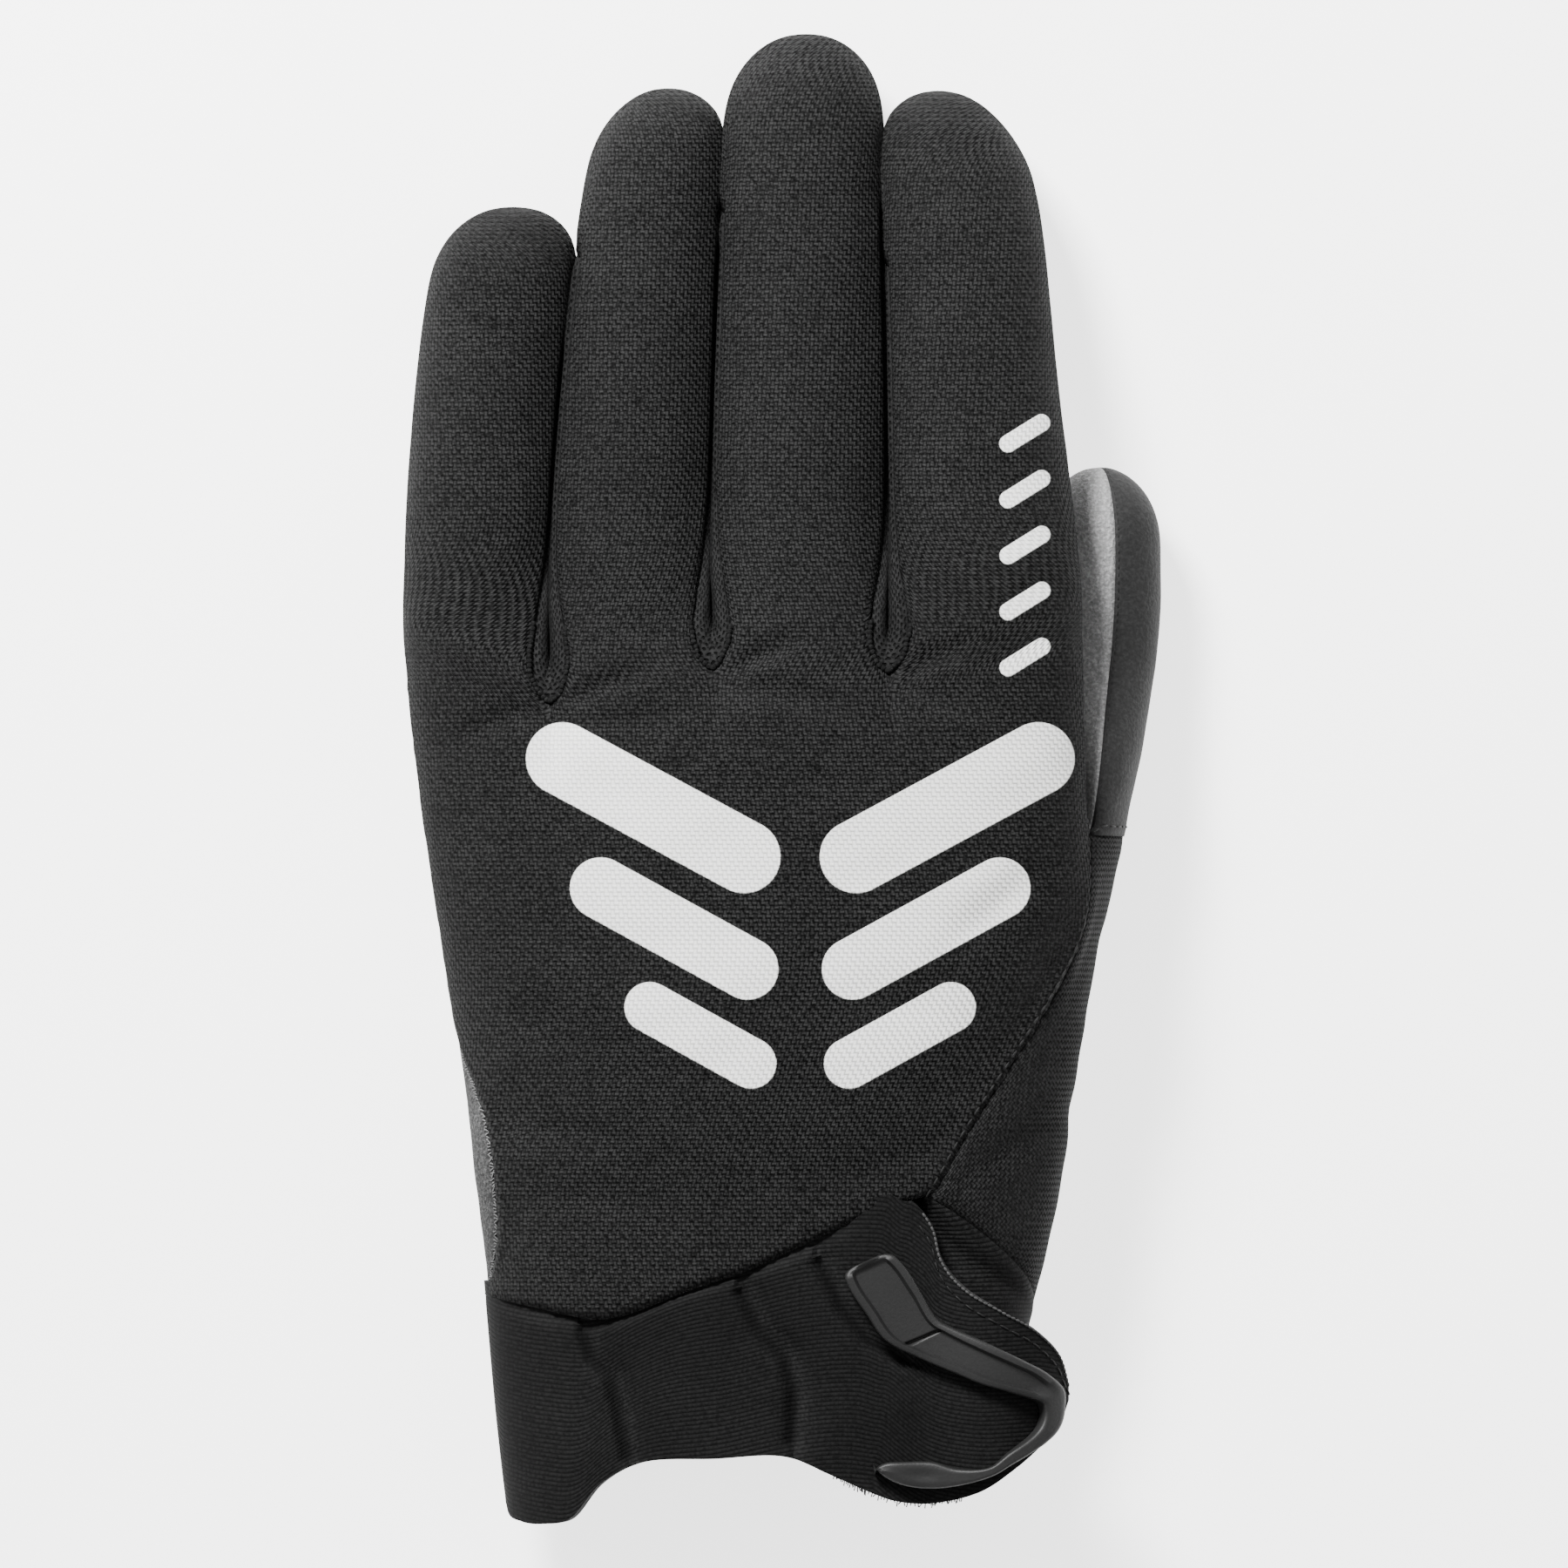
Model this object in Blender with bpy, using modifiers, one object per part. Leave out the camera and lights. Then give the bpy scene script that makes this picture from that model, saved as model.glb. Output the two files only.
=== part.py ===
"""A left-hand motocross glove lying palm down, in metres.

+X points to the thumb side, +Y to the fingertips and +Z up from the surface that the glove rests on. The glove's
skin is worked out as one closed surface of cross sections, and each sewn panel is a region of it, given its own
wall. Neighbouring panels share their seam's direction, so their walls are mitred with one seam gap between them.
"""

import math

import bmesh
import bpy
import numpy as np
from mathutils import Vector

MM = 0.001

# Overall sizes
GLOVE_LENGTH = 214.3 * MM  # middle fingertip to the lowest point of the cuff
GLOVE_WIDTH = 109.1 * MM  # little-finger edge to thumb edge
WRIST_DEPTH = 30.0 * MM  # palm side to back at the wrist
FINGER_DEPTH = 17.6 * MM
THUMB_WIDTH = 18.0 * MM
THUMB_DEPTH = 16.8 * MM

# Walls and clearances
BACK_WALL = 1.2 * MM
PALM_WALL = 1.4 * MM
MESH_WALL = 1.0 * MM  # the fourchettes between the fingers
THUMB_WALL = 1.2 * MM
GUSSET_WALL = 1.2 * MM
CUFF_WALL = 2.0 * MM
STRAP_WALL = 2.0 * MM
PAD_THICKNESS = 0.7 * MM
PULL_THICKNESS = 1.8 * MM
PULL_BEVEL = 0.7 * MM
PULL_GAP = 0.45 * MM  # under the rubber pull
SEAM_GAP = 0.3 * MM
LAYER_GAP = 0.3 * MM  # between the strap, its pad, the cuff and the rubber pull
HEM_GAP = 0.7 * MM  # between the back panel's hem and the strap
FINGER_GAP = 0.6 * MM
THUMB_CLEARANCE = 0.7 * MM  # below the index finger's side

# Slits between the fingers
SLIT_HALF_WIDTH = 2.4 * MM
SLIT_LENGTH = 20.0 * MM
SEAM_INSET = 0.6 * MM  # how far over the finger's side its back panel's seam stays
WEB_REACH = 12.0 * MM  # how much further up the web ends on the palm side
RIDGE_START = 12.0 * MM  # how far below a slit the finger's ridge begins on the back
PALM_RIDGE_START = 8.0 * MM
RIDGE_LENGTH = 36.0 * MM

SPLIT_UP = 0.465  # share of the length where the thumb leaves the hand
RIDGE_POWER = 2.1
HAND_POWER = 2.4
CAP_POWER = 2.2

# Resolution
BACK_COLUMNS = 8  # to each finger
PALM_COLUMNS = 6
SIDE_COLUMNS = 4
THUMB_OUTER_COLUMNS = 10
THUMB_EDGE_COLUMN = 4  # the column at the thumb's outer edge
THUMB_DARK_COLUMN = 6  # where the thumb's dark face meets its suede face
THUMB_INNER_COLUMNS = 4
HAND_ROWS = 9
KNUCKLE_ROWS = 4
CUFF_ROW_SHARES = (0.0, 0.08, 0.28, 0.6, 1.0)
STRAP_COLUMNS = 24
STRAP_ROWS = 7
STRAIGHT_SHARES = (0.0, 0.045, 0.11, 0.21, 0.34, 0.5, 0.67, 0.85, 1.0)  # rows up a finger, below its tip
CAP_ROWS = 5
FOURCHETTE_END_ROW = 7


class Table:
    """Rows of shares under named columns, read smoothly between the rows by the first column."""

    def __init__(self, names, *rows):
        self.names = names.split()
        self.rows = np.array(rows, float)

    def at(self, name, key):
        keys = self.rows[:, 0]
        values = self.rows[:, self.names.index(name)]
        key = min(max(key, keys[0]), keys[-1])
        i = min(int(np.searchsorted(keys, key, side="right")) - 1, len(keys) - 2)
        step = keys[i + 1] - keys[i]
        t = (key - keys[i]) / step
        slopes = np.gradient(values, keys)
        return float(
            (2 * t**3 - 3 * t**2 + 1) * values[i]
            + (t**3 - 2 * t**2 + t) * step * slopes[i]
            + (3 * t**2 - 2 * t**3) * values[i + 1]
            + (t**3 - t**2) * step * slopes[i + 1]
        )


# "up" is a share of the glove's length from the cuff's lowest point. Across, 0 is the middle of the glove's width
# and the other columns are shares of that width.
LEFT_EDGE = Table(
    "up left",
    (0.000, -0.362),
    (0.050, -0.374),
    (0.159, -0.3935),
    (0.235, -0.4085),
    (0.322, -0.430),
    (0.410, -0.457),
    (0.497, -0.4815),
    (0.555, -0.495),
    (0.620, -0.500),
    (0.690, -0.4965),
    (0.760, -0.486),
    (0.812, -0.4745),
    (0.870, -0.458),
)
# The back panel's edge at the thumb side: the index finger's side above the split, a curved seam below it.
INDEX_EDGE = Table(
    "up across",
    (0.220, 0.184),
    (0.231, 0.196),
    (0.249, 0.215),
    (0.285, 0.261),
    (0.320, 0.310),
    (0.345, 0.343),
    (0.364, 0.366),
    (0.384, 0.3865),
    (0.407, 0.401),
    (0.425, 0.406),
    (0.460, 0.402),
    (0.500, 0.4005),
    (0.560, 0.3975),
    (0.640, 0.392),
    (0.700, 0.380),
    (0.760, 0.364),
    (0.820, 0.354),
    (0.870, 0.344),
    (0.960, 0.322),
)
# The outer edge at the thumb side: gusset below the split, thumb above it.
THUMB_EDGE = Table(
    "up across",
    (0.000, 0.298),
    (0.090, 0.310),
    (0.147, 0.332),
    (0.200, 0.3555),
    (0.250, 0.3765),
    (0.320, 0.3925),
    (0.360, 0.407),
    (0.410, 0.428),
    (0.460, 0.450),
    (0.500, 0.467),
    (0.550, 0.4855),
    (0.590, 0.4965),
    (0.625, 0.500),
    (0.720, 0.499),
)
# The lines between the fingers, above the slits.
WEBS = Table(
    "up little_ring ring_middle middle_index",
    (0.540, -0.3050, -0.0895, 0.1370),
    (0.640, -0.3065, -0.0950, 0.1395),
    (0.700, -0.2990, -0.0915, 0.1403),
    (0.760, -0.2900, -0.0880, 0.1390),
    (0.820, -0.2790, -0.0845, 0.1360),
    (0.880, -0.2620, -0.0810, 0.1320),
    (0.950, -0.2500, -0.0750, 0.1280),
)
WEB_NAMES = ("little_ring", "ring_middle", "middle_index")
WEB_BOTTOMS = (0.547, 0.570, 0.567)  # share of the length where each slit starts
HAND_GUIDES = (0.25, 0.50, 0.75)  # where the web lines run out to at the wrist, as shares of the panel's width
KNUCKLE_LEFT = 0.575
KNUCKLE_RIGHT = 0.592
FINGERS = {  # tip and cap as shares of the length; lean of the tip as a share of the width; droop is a power
    "little": {"tip": 0.884, "cap": 0.052, "lean": 0.003, "droop": 1.3},
    "ring": {"tip": 0.9635, "cap": 0.058, "lean": 0.012, "droop": 1.3},
    "middle": {"tip": 1.0, "cap": 0.064, "lean": 0.004, "droop": 1.5},
    "index": {"tip": 0.962, "cap": 0.068, "lean": -0.018, "droop": 2.0},
}
LEAN_REACH = 1.2  # of the cap's length
THUMB_TIP = 0.710
THUMB_CAP = 0.058

# Heights as shares of the wrist's depth: the section's two edges, its rise to the back and its drop to the palm.
PROFILE = Table(
    "up left_mid right_mid rise drop",
    (0.00, 0.48, 0.51, 0.49, 0.470),
    (0.15, 0.48, 0.53, 0.50, 0.480),
    (0.29, 0.46, 0.61, 0.48, 0.450),
    (0.465, 0.44, 0.76, 0.43, 0.390),
    (0.55, 0.44, 0.80, 0.40, 0.350),
    (0.62, 0.44, 0.80, 0.37, 0.320),
)
FINGER_TIP_MID = 0.49  # of the finger's depth
FINGER_SWELL = Table("out half", (0.0, 0.53), (0.3, 0.52), (0.7, 0.485), (1.0, 0.46))  # of the finger's depth
THUMB_BASE_MID = 0.385  # of the wrist's depth
THUMB_BASE_HALF = 0.37
SEAM_WRAP = Table(  # how far the palm's suede comes over the little-finger edge, as shares of the width
    "up wrap", (0.150, 0.0), (0.157, 0.0), (0.168, 0.008), (0.20, 0.026), (0.235, 0.0262), (0.285, 0.0115), (0.315, 0.001), (0.33, 0.0), (0.96, 0.0)
)
SLIT_SHAPE = Table("out half", (0.0, 0.0), (0.14, 0.8), (0.34, 1.0), (0.6, 0.5), (1.0, 0.0))
THENAR_SEAM = Table("up across", (0.14, 0.148), (0.22, 0.170), (0.30, 0.204), (0.38, 0.236), (0.465, 0.266))

# Lower edges, as shares of the length (down) by share of the width (across).
BACK_HEM = Table(
    "across up",
    (-0.400, 0.157),
    (-0.310, 0.146),
    (-0.239, 0.140),
    (-0.120, 0.160),
    (-0.044, 0.173),
    (0.040, 0.193),
    (0.116, 0.211),
    (0.185, 0.2225),
)
GUSSET_HEM = Table("along up", (0.0, 0.2225), (0.5, 0.178), (1.0, 0.147))
PALM_HEM = 0.146
CUFF_LEFT_END = 0.012
CUFF_HEM = Table(  # by share of the way round from the flap's free edge
    "along up", (0.0, 0.050), (0.2, 0.048), (0.4, 0.047), (0.6, 0.051), (0.8, 0.053), (0.91, 0.024), (0.96, 0.018), (1.0, 0.030)
)

# The strap's two long edges, from the little-finger edge to its free end.
STRAP = Table(
    "along top_across top_up low_across low_up",
    (0.00, -0.3930, 0.1585, -0.3620, 0.0160),
    (0.06, -0.3500, 0.1500, -0.3430, 0.0030),
    (0.12, -0.2950, 0.1430, -0.3120, 0.0000),
    (0.18, -0.2400, 0.1395, -0.2780, 0.0065),
    (0.24, -0.1850, 0.1465, -0.2400, 0.0300),
    (0.31, -0.1150, 0.1595, -0.1830, 0.0450),
    (0.39, -0.0440, 0.1730, -0.0900, 0.0475),
    (0.48, 0.0360, 0.1920, 0.0020, 0.0490),
    (0.56, 0.1160, 0.2110, 0.0640, 0.0365),
    (0.63, 0.1720, 0.2185, 0.1200, 0.0240),
    (0.66, 0.1930, 0.2050, 0.1420, 0.0200),
    (0.71, 0.2060, 0.1820, 0.1850, 0.0175),
    (0.78, 0.2370, 0.1615, 0.2540, 0.0245),
    (0.85, 0.2880, 0.1460, 0.3050, 0.0410),
    (0.91, 0.3340, 0.1325, 0.3400, 0.0565),
    (0.96, 0.3640, 0.1155, 0.3620, 0.0680),
    (1.00, 0.3752, 0.0960, 0.3752, 0.0860),
)
STRAP_SEAM_END = 0.165  # how far its upper edge runs along the back panel's hem
STRAP_REACH = 0.3830  # where the strap's own section would end, as a share of the width
RAISE_FROM = 0.17  # where the strap starts to lift over the cuff, and where it lies fully on it
RAISE_TO = 0.31
LAYERS = STRAP_WALL + PAD_THICKNESS + 3 * LAYER_GAP  # from the strap's outer face to the cuff's under it
STRAP_EDGE_RISE = 1.0 * MM  # of its little-finger edge over the cuff's
CUFF_STEP = 0.27  # share of the cuff's length over which it sinks under the strap, at the thumb edge

# The rubber pull: pairs of edge points along its bent path.
PULL = Table(
    "along outer_across outer_up inner_across inner_up",
    (0.00, 0.1380, 0.1862, 0.0790, 0.1725),
    (0.04, 0.1510, 0.1802, 0.0835, 0.1650),
    (0.16, 0.1790, 0.1600, 0.1090, 0.1440),
    (0.26, 0.2060, 0.1398, 0.1335, 0.1268),
    (0.32, 0.2240, 0.1350, 0.1560, 0.1198),
    (0.42, 0.2700, 0.1244, 0.2300, 0.1042),
    (0.52, 0.3100, 0.1134, 0.2640, 0.0970),
    (0.58, 0.3400, 0.1042, 0.2950, 0.0920),
    (0.63, 0.3590, 0.0930, 0.3310, 0.0852),
    (0.66, 0.3600, 0.0840, 0.3350, 0.0810),
    (0.71, 0.3545, 0.0690, 0.3330, 0.0715),
    (0.76, 0.3370, 0.0580, 0.3215, 0.0630),
    (0.81, 0.3000, 0.0450, 0.2930, 0.0515),
    (0.85, 0.2730, 0.0360, 0.2690, 0.0418),
    (0.89, 0.2365, 0.0303, 0.2310, 0.0410),
    (0.93, 0.1965, 0.0280, 0.1965, 0.0455),
    (0.97, 0.1560, 0.0303, 0.1500, 0.0455),
    (1.00, 0.1200, 0.0375, 0.1180, 0.0448),
)
PULL_SECTIONS = 34

PAD_FROM, PAD_TO = 0.12, 0.27  # the pad's sides, as shares of the width
PAD_LOW, PAD_HIGH = 0.062, 0.135  # and of the length

COLOURS = {  # base colour, roughness
    "back_panel": ((0.028, 0.028, 0.029, 1), 0.85),
    "palm_panel": ((0.155, 0.155, 0.158, 1), 0.92),
    "fourchette_little_ring": ((0.022, 0.022, 0.023, 1), 0.8),
    "fourchette_ring_middle": ((0.022, 0.022, 0.023, 1), 0.8),
    "fourchette_middle_index": ((0.022, 0.022, 0.023, 1), 0.8),
    "thumb_back": ((0.036, 0.036, 0.037, 1), 0.6),
    "thumb_front": ((0.30, 0.30, 0.305, 1), 0.92),
    "side_gusset": ((0.026, 0.026, 0.027, 1), 0.8),
    "cuff": ((0.018, 0.018, 0.019, 1), 0.85),
    "closure_strap": ((0.016, 0.016, 0.017, 1), 0.85),
    "hook_pad": ((0.012, 0.012, 0.012, 1), 0.95),
    "rubber_pull": ((0.045, 0.045, 0.047, 1), 0.5),
}


def smooth(t):
    t = min(max(t, 0.0), 1.0)
    return t * t * (3 - 2 * t)


def mix(a, b, t):
    return a + (b - a) * t


def up_of(y):
    return y / GLOVE_LENGTH + 0.5


def y_of(up):
    return (up - 0.5) * GLOVE_LENGTH


def arch(share, power):
    """Height of a unit superellipse at a share of its half width."""
    return max(0.0, 1 - abs(share) ** power) ** (1 / power)


def cap_share(y, tip_y, cap):
    """How much of its full section a finger keeps this near its tip."""
    return arch(min(max((y - tip_y + cap) / cap, 0.0), 1.0), CAP_POWER)


FINGER_NAMES = tuple(FINGERS)
SPLIT_Y = y_of(SPLIT_UP)


def left_x(y):
    return LEFT_EDGE.at("left", up_of(y)) * GLOVE_WIDTH


def index_x(y):
    return INDEX_EDGE.at("across", up_of(y)) * GLOVE_WIDTH


def thumb_x(y):
    return THUMB_EDGE.at("across", up_of(y)) * GLOVE_WIDTH


def split_weight(y):
    """0 at the wrist, where the section is one loop, to 1 where the thumb leaves it."""
    start = y_of(BACK_HEM.rows[-1, 1])
    return smooth((y - start) / (SPLIT_Y - start))


def section(y):
    """The hand's section: its left and right ends, their heights, its rise and its drop."""
    up = up_of(y)
    right = mix(thumb_x(y), index_x(y), split_weight(y))
    sizes = (PROFILE.at(name, up) * WRIST_DEPTH for name in ("left_mid", "right_mid", "rise", "drop"))
    return (left_x(y), right, *sizes)


def mid_height(x, y):
    left, right, left_mid, right_mid, _, _ = section(y)
    return mix(left_mid, right_mid, (x - left) / (right - left))


def hand_height(x, y, side, grow=0.0):
    """Height of the hand's back (side 1) or palm (side -1), grown by a clearance."""
    left, right, _, _, rise, drop = section(y)
    half = (right - left) / 2 + grow
    return mid_height(x, y) + side * ((rise if side > 0 else drop) + grow) * arch((x - (left + right) / 2) / half, HAND_POWER)


def web_x(web, y, side):
    """The line between two fingers: real above its slit, a guide below it."""
    bottom = y_of(WEB_BOTTOMS[web]) + (WEB_REACH if side < 0 else 0.0)
    if y >= bottom:
        return WEBS.at(WEB_NAMES[web], up_of(y)) * GLOVE_WIDTH
    start = WEBS.at(WEB_NAMES[web], up_of(bottom)) * GLOVE_WIDTH
    share = (start - left_x(bottom)) / (index_x(bottom) - left_x(bottom))
    share = mix(HAND_GUIDES[web], share, smooth((y - y_of(PALM_HEM)) / (bottom - y_of(PALM_HEM))))
    return mix(left_x(y), index_x(y), share)


def thenar_x(y):
    """The palm panel's seam to the thumb's suede, under the hand."""
    return THENAR_SEAM.at("across", up_of(y)) * GLOVE_WIDTH


def web_bottom(web, side):
    return y_of(WEB_BOTTOMS[web]) + (WEB_REACH if side < 0 else 0.0)


def finger_span(finger, y, side):
    """The two side lines of a finger, or of its stretch of the hand."""
    left = left_x(y) if finger == 0 else web_x(finger - 1, y, side)
    right = index_x(y) if finger == 3 else web_x(finger, y, side)
    opening = lambda web: FINGER_GAP / 2 * smooth((y - web_bottom(web, side)) / (2 * SLIT_HALF_WIDTH))
    if finger > 0:
        left += opening(finger - 1)
    if finger < 3:
        right -= opening(finger)
    return left, right


def ridge_weight(finger, share, y, side):
    """0 on the flat of the hand to 1 on a separate finger; share runs from -1 to 1 across the finger."""
    webs = [max(finger - 1, 0), min(finger, 2)]
    start = RIDGE_START if side > 0 else PALM_RIDGE_START
    weights = [smooth((y - web_bottom(web, side) + start) / RIDGE_LENGTH) for web in webs]
    return mix(weights[0], weights[1], (share + 1) / 2)


def finger_ring(finger, y):
    """Middle x, half width, middle height and half depth of a finger's section."""
    name = FINGER_NAMES[finger]
    tip, cap = y_of(FINGERS[name]["tip"]), FINGERS[name]["cap"] * GLOVE_LENGTH
    base = max(web_bottom(web, 1) for web in (max(finger - 1, 0), min(finger, 2)))
    left, right = finger_span(finger, y, 1)
    out = min(max((y - base) / (tip - base), 0.0), 1.0)
    keep = cap_share(y, tip, cap)
    lean = FINGERS[name]["lean"] * GLOVE_WIDTH * smooth((y - tip + LEAN_REACH * cap) / (LEAN_REACH * cap))
    middle = (left + right) / 2 + lean
    base_mid = mid_height((left + right) / 2, min(y, base))
    mid = mix(base_mid, FINGER_TIP_MID * FINGER_DEPTH, out ** FINGERS[name]["droop"])
    return middle, (right - left) / 2 * keep, mid, FINGER_SWELL.at("half", out) * FINGER_DEPTH * keep


def surface_point(finger, share, y, side, grow=0.0):
    """A point of the back (side 1) or palm (side -1), at a share from -1 to 1 across its finger's stretch."""
    middle, half, mid, depth = finger_ring(finger, y)
    weight = ridge_weight(finger, share, y, side)
    left, right = finger_span(finger, y, side)
    x = mix((left + right) / 2 + share * (right - left) / 2, middle + share * half, weight)
    flat = hand_height(min(x, section(y)[1]), y, side, grow) if weight < 1 else 0.0
    base = max(web_bottom(web, 1) for web in (max(finger - 1, 0), min(finger, 2)))
    centre = mid + (mid_height(x, min(y, base)) - mid_height(middle, min(y, base))) * (1 - smooth((y - base) / RIDGE_LENGTH))
    ridge = centre + side * (depth + grow) * arch(share * half / max(half + grow, 1e-9), RIDGE_POWER)
    return Vector((x, y, mix(flat, ridge, weight)))


def slit_inset(y, web, side):
    """How far a slit's edge lies from its side line."""
    out = (y - web_bottom(web, side)) / SLIT_LENGTH
    if out <= 0:
        return 0.0
    return SLIT_SHAPE.at("half", out) * SLIT_HALF_WIDTH + SEAM_INSET * smooth(2 * out)


def spread(first, last, count):
    return [mix(first, last, i / count) for i in range(count + 1)]


def panel_row(finger, y_by_share, side, columns, wrap=True):
    """One row of a finger's stretch of a panel, as points from its left to its right edge.

    y_by_share gives the row's y at a share across, so a row may be wavy.
    """
    y_left, y_right = y_by_share(-1.0), y_by_share(1.0)
    left, right = finger_span(finger, y_left, side)
    half = max((right - left) / 2 * finger_keep(finger, y_left), 1e-6)
    start, end = 0.0, math.pi
    if finger > 0:
        start = math.acos(1 - min(slit_inset(y_left, finger - 1, side) / half, 0.9))
    elif wrap:
        start = side * math.acos(1 - min(max(SEAM_WRAP.at("wrap", up_of(y_left)), 0.0) * GLOVE_WIDTH / half, 0.9))
    if finger < 3:
        end -= math.acos(1 - min(slit_inset(y_right, finger, side) / half, 0.9))
    elif side < 0:
        end = thenar_angle(y_left)
    points = []
    for angle in spread(start, end, columns):
        share = -math.cos(angle)
        points.append(surface_point(finger, share, y_by_share(share), side if angle >= 0 else -side))
    return points


def finger_keep(finger, y):
    name = FINGER_NAMES[finger]
    return cap_share(y, y_of(FINGERS[name]["tip"]), FINGERS[name]["cap"] * GLOVE_LENGTH)


def knuckle_y(finger, share, side):
    """The wavy row through the slits' lower ends."""
    stops = [y_of(KNUCKLE_LEFT), *(web_bottom(web, side) for web in range(3)), y_of(KNUCKLE_RIGHT)]
    return mix(stops[finger], stops[finger + 1], smooth((share + 1) / 2))


def hem_y(finger, share, side):
    """The panel's lower edge."""
    y = y_of(PALM_HEM)
    if side > 0:
        for _ in range(4):  # the hem's height depends on x, and x a little on the height
            left, right = finger_span(finger, y, side)
            x = (left + right) / 2 + share * (right - left) / 2
            y = y_of(BACK_HEM.at("up", x / GLOVE_WIDTH))
        return y
    if finger > 0:
        return y
    return mix(hem_y(0, -1.0, 1), y, smooth((share + 1) / 2))


def hand_rows(finger, side, columns):
    """The rows of a finger's stretch of the hand, from the hem past the split to the knuckles."""
    rows = []
    for part in spread(0.0, 1.0, HAND_ROWS):
        rows.append(panel_row(finger, lambda share: mix(hem_y(finger, share, side), SPLIT_Y, part), side, columns))
    for part in spread(0.0, 1.0, KNUCKLE_ROWS)[1:]:
        rows.append(panel_row(finger, lambda share: mix(SPLIT_Y, knuckle_y(finger, share, side), part), side, columns))
    return rows


def finger_row_y(finger, row):
    """A function of the share across that gives a finger row's y, on either side."""
    name = FINGER_NAMES[finger]
    tip, cap = y_of(FINGERS[name]["tip"]), FINGERS[name]["cap"] * GLOVE_LENGTH
    if row < len(STRAIGHT_SHARES):
        return lambda share, side: mix(knuckle_y(finger, share, side), tip - cap, STRAIGHT_SHARES[row])
    turn = (row - len(STRAIGHT_SHARES) + 1) / CAP_ROWS
    return lambda share, side: tip - cap + cap * math.sin(turn * math.pi / 2)


def finger_rows(finger, side, columns):
    count = len(STRAIGHT_SHARES) + CAP_ROWS
    rows = []
    for row in range(count):
        y_at = finger_row_y(finger, row)
        rows.append(panel_row(finger, lambda share: y_at(share, side), side, columns))
    return rows


def thenar_angle(y):
    """Where the seam to the thumb's suede lies across the index finger's palm stretch, as an angle from its left."""
    left, right = finger_span(3, y, -1)
    return math.acos(1 - 2 * (thenar_x(y) - left) / (right - left))


def index_palm_row(y_by_share, blend):
    """A palm row of the index finger's stretch above the split, which runs on round to the back panel's edge."""
    y_left = y_by_share(-1.0)
    left, right = finger_span(3, y_left, -1)
    half = max((right - left) / 2 * finger_keep(3, y_left), 1e-6)
    start = math.acos(1 - min(slit_inset(y_left, 2, -1) / half, 0.9))
    seam = thenar_angle(SPLIT_Y)
    at_split = spread(start, seam, PALM_COLUMNS) + spread(seam, math.pi, THUMB_INNER_COLUMNS)[1:]
    even = spread(start, math.pi, PALM_COLUMNS + THUMB_INNER_COLUMNS)
    shares = [-math.cos(mix(a, b, blend)) for a, b in zip(at_split, even)]
    return [surface_point(3, share, y_by_share(share), -1) for share in shares]


def thumb_section(y):
    """Centre x, half width, centre height and half depth of the thumb, from its base to its tip."""
    tip, cap = y_of(THUMB_TIP), THUMB_CAP * GLOVE_LENGTH
    keep = cap_share(y, tip, cap)
    out = smooth((y - SPLIT_Y) / (0.6 * (tip - SPLIT_Y)))
    mid = mix(THUMB_BASE_MID * WRIST_DEPTH, 0.53 * THUMB_DEPTH, out)
    half = mix(THUMB_BASE_HALF * WRIST_DEPTH, THUMB_DEPTH / 2, out)
    return thumb_x(y) - THUMB_WIDTH / 2, THUMB_WIDTH / 2 * keep, mid, half * keep


THUMB_SEAM_ANGLE = math.radians(75)
THUMB_CREASE_ANGLE = math.radians(-175)


def outer_angle(column):
    """The thumb's angle at a column of its outer side, from the back panel's seam round to the palm's."""
    edge = THUMB_EDGE_COLUMN
    if column <= edge:
        return mix(THUMB_SEAM_ANGLE, 0.0, column / edge)
    return mix(0.0, THUMB_CREASE_ANGLE, (column - edge) / (THUMB_OUTER_COLUMNS - edge))


def oval(centre_x, half, mid, depth, angle):
    return centre_x + half * math.cos(angle), mid + depth * math.sin(angle)


def side_point(column, y):
    """The hand's side below the split, from the back panel's edge round to the palm's."""
    left, right = left_x(y), thumb_x(y)
    middle, half = (left + right) / 2, (right - left) / 2
    _, _, left_mid, right_mid, rise, drop = section(y)
    start = surface_point(3, 1.0, y, 1)
    end = surface_point(3, -math.cos(thenar_angle(y)), y, -1)
    edge = THUMB_EDGE_COLUMN
    above = column <= edge
    target = start if above else end
    limit = min(abs(target.x - middle) / half, 0.999)
    part = 1 - column / edge if above else (column - edge) / (THUMB_OUTER_COLUMNS - edge)
    share = math.cos(part * math.acos(limit))
    height = mix(left_mid, right_mid, (share + 1) / 2)
    height += (rise if above else -drop) * arch(share, HAND_POWER)
    loop = (middle + share * half, height)
    thumb = oval(*thumb_section(SPLIT_Y), outer_angle(column))
    thumb = (thumb[0] + thumb_x(y) - thumb_x(SPLIT_Y), thumb[1])
    weight = split_weight(y)
    x, z = mix(loop[0], thumb[0], weight), mix(loop[1], thumb[1], weight)
    # Both ends meet the panels exactly, and the pull towards them fades before the edge.
    column_end = 0 if above else THUMB_OUTER_COLUMNS
    limit_share = math.cos(math.acos(limit))
    loop_end = (middle + limit_share * half, mix(left_mid, right_mid, (limit_share + 1) / 2)
                + (rise if above else -drop) * arch(limit_share, HAND_POWER))
    thumb_end = oval(*thumb_section(SPLIT_Y), outer_angle(column_end))
    thumb_end = (thumb_end[0] + thumb_x(y) - thumb_x(SPLIT_Y), thumb_end[1])
    x += (target.x - mix(loop_end[0], thumb_end[0], weight)) * part**2
    z += (target.z - mix(loop_end[1], thumb_end[1], weight)) * part**2
    return Vector((x, y, z))


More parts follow.
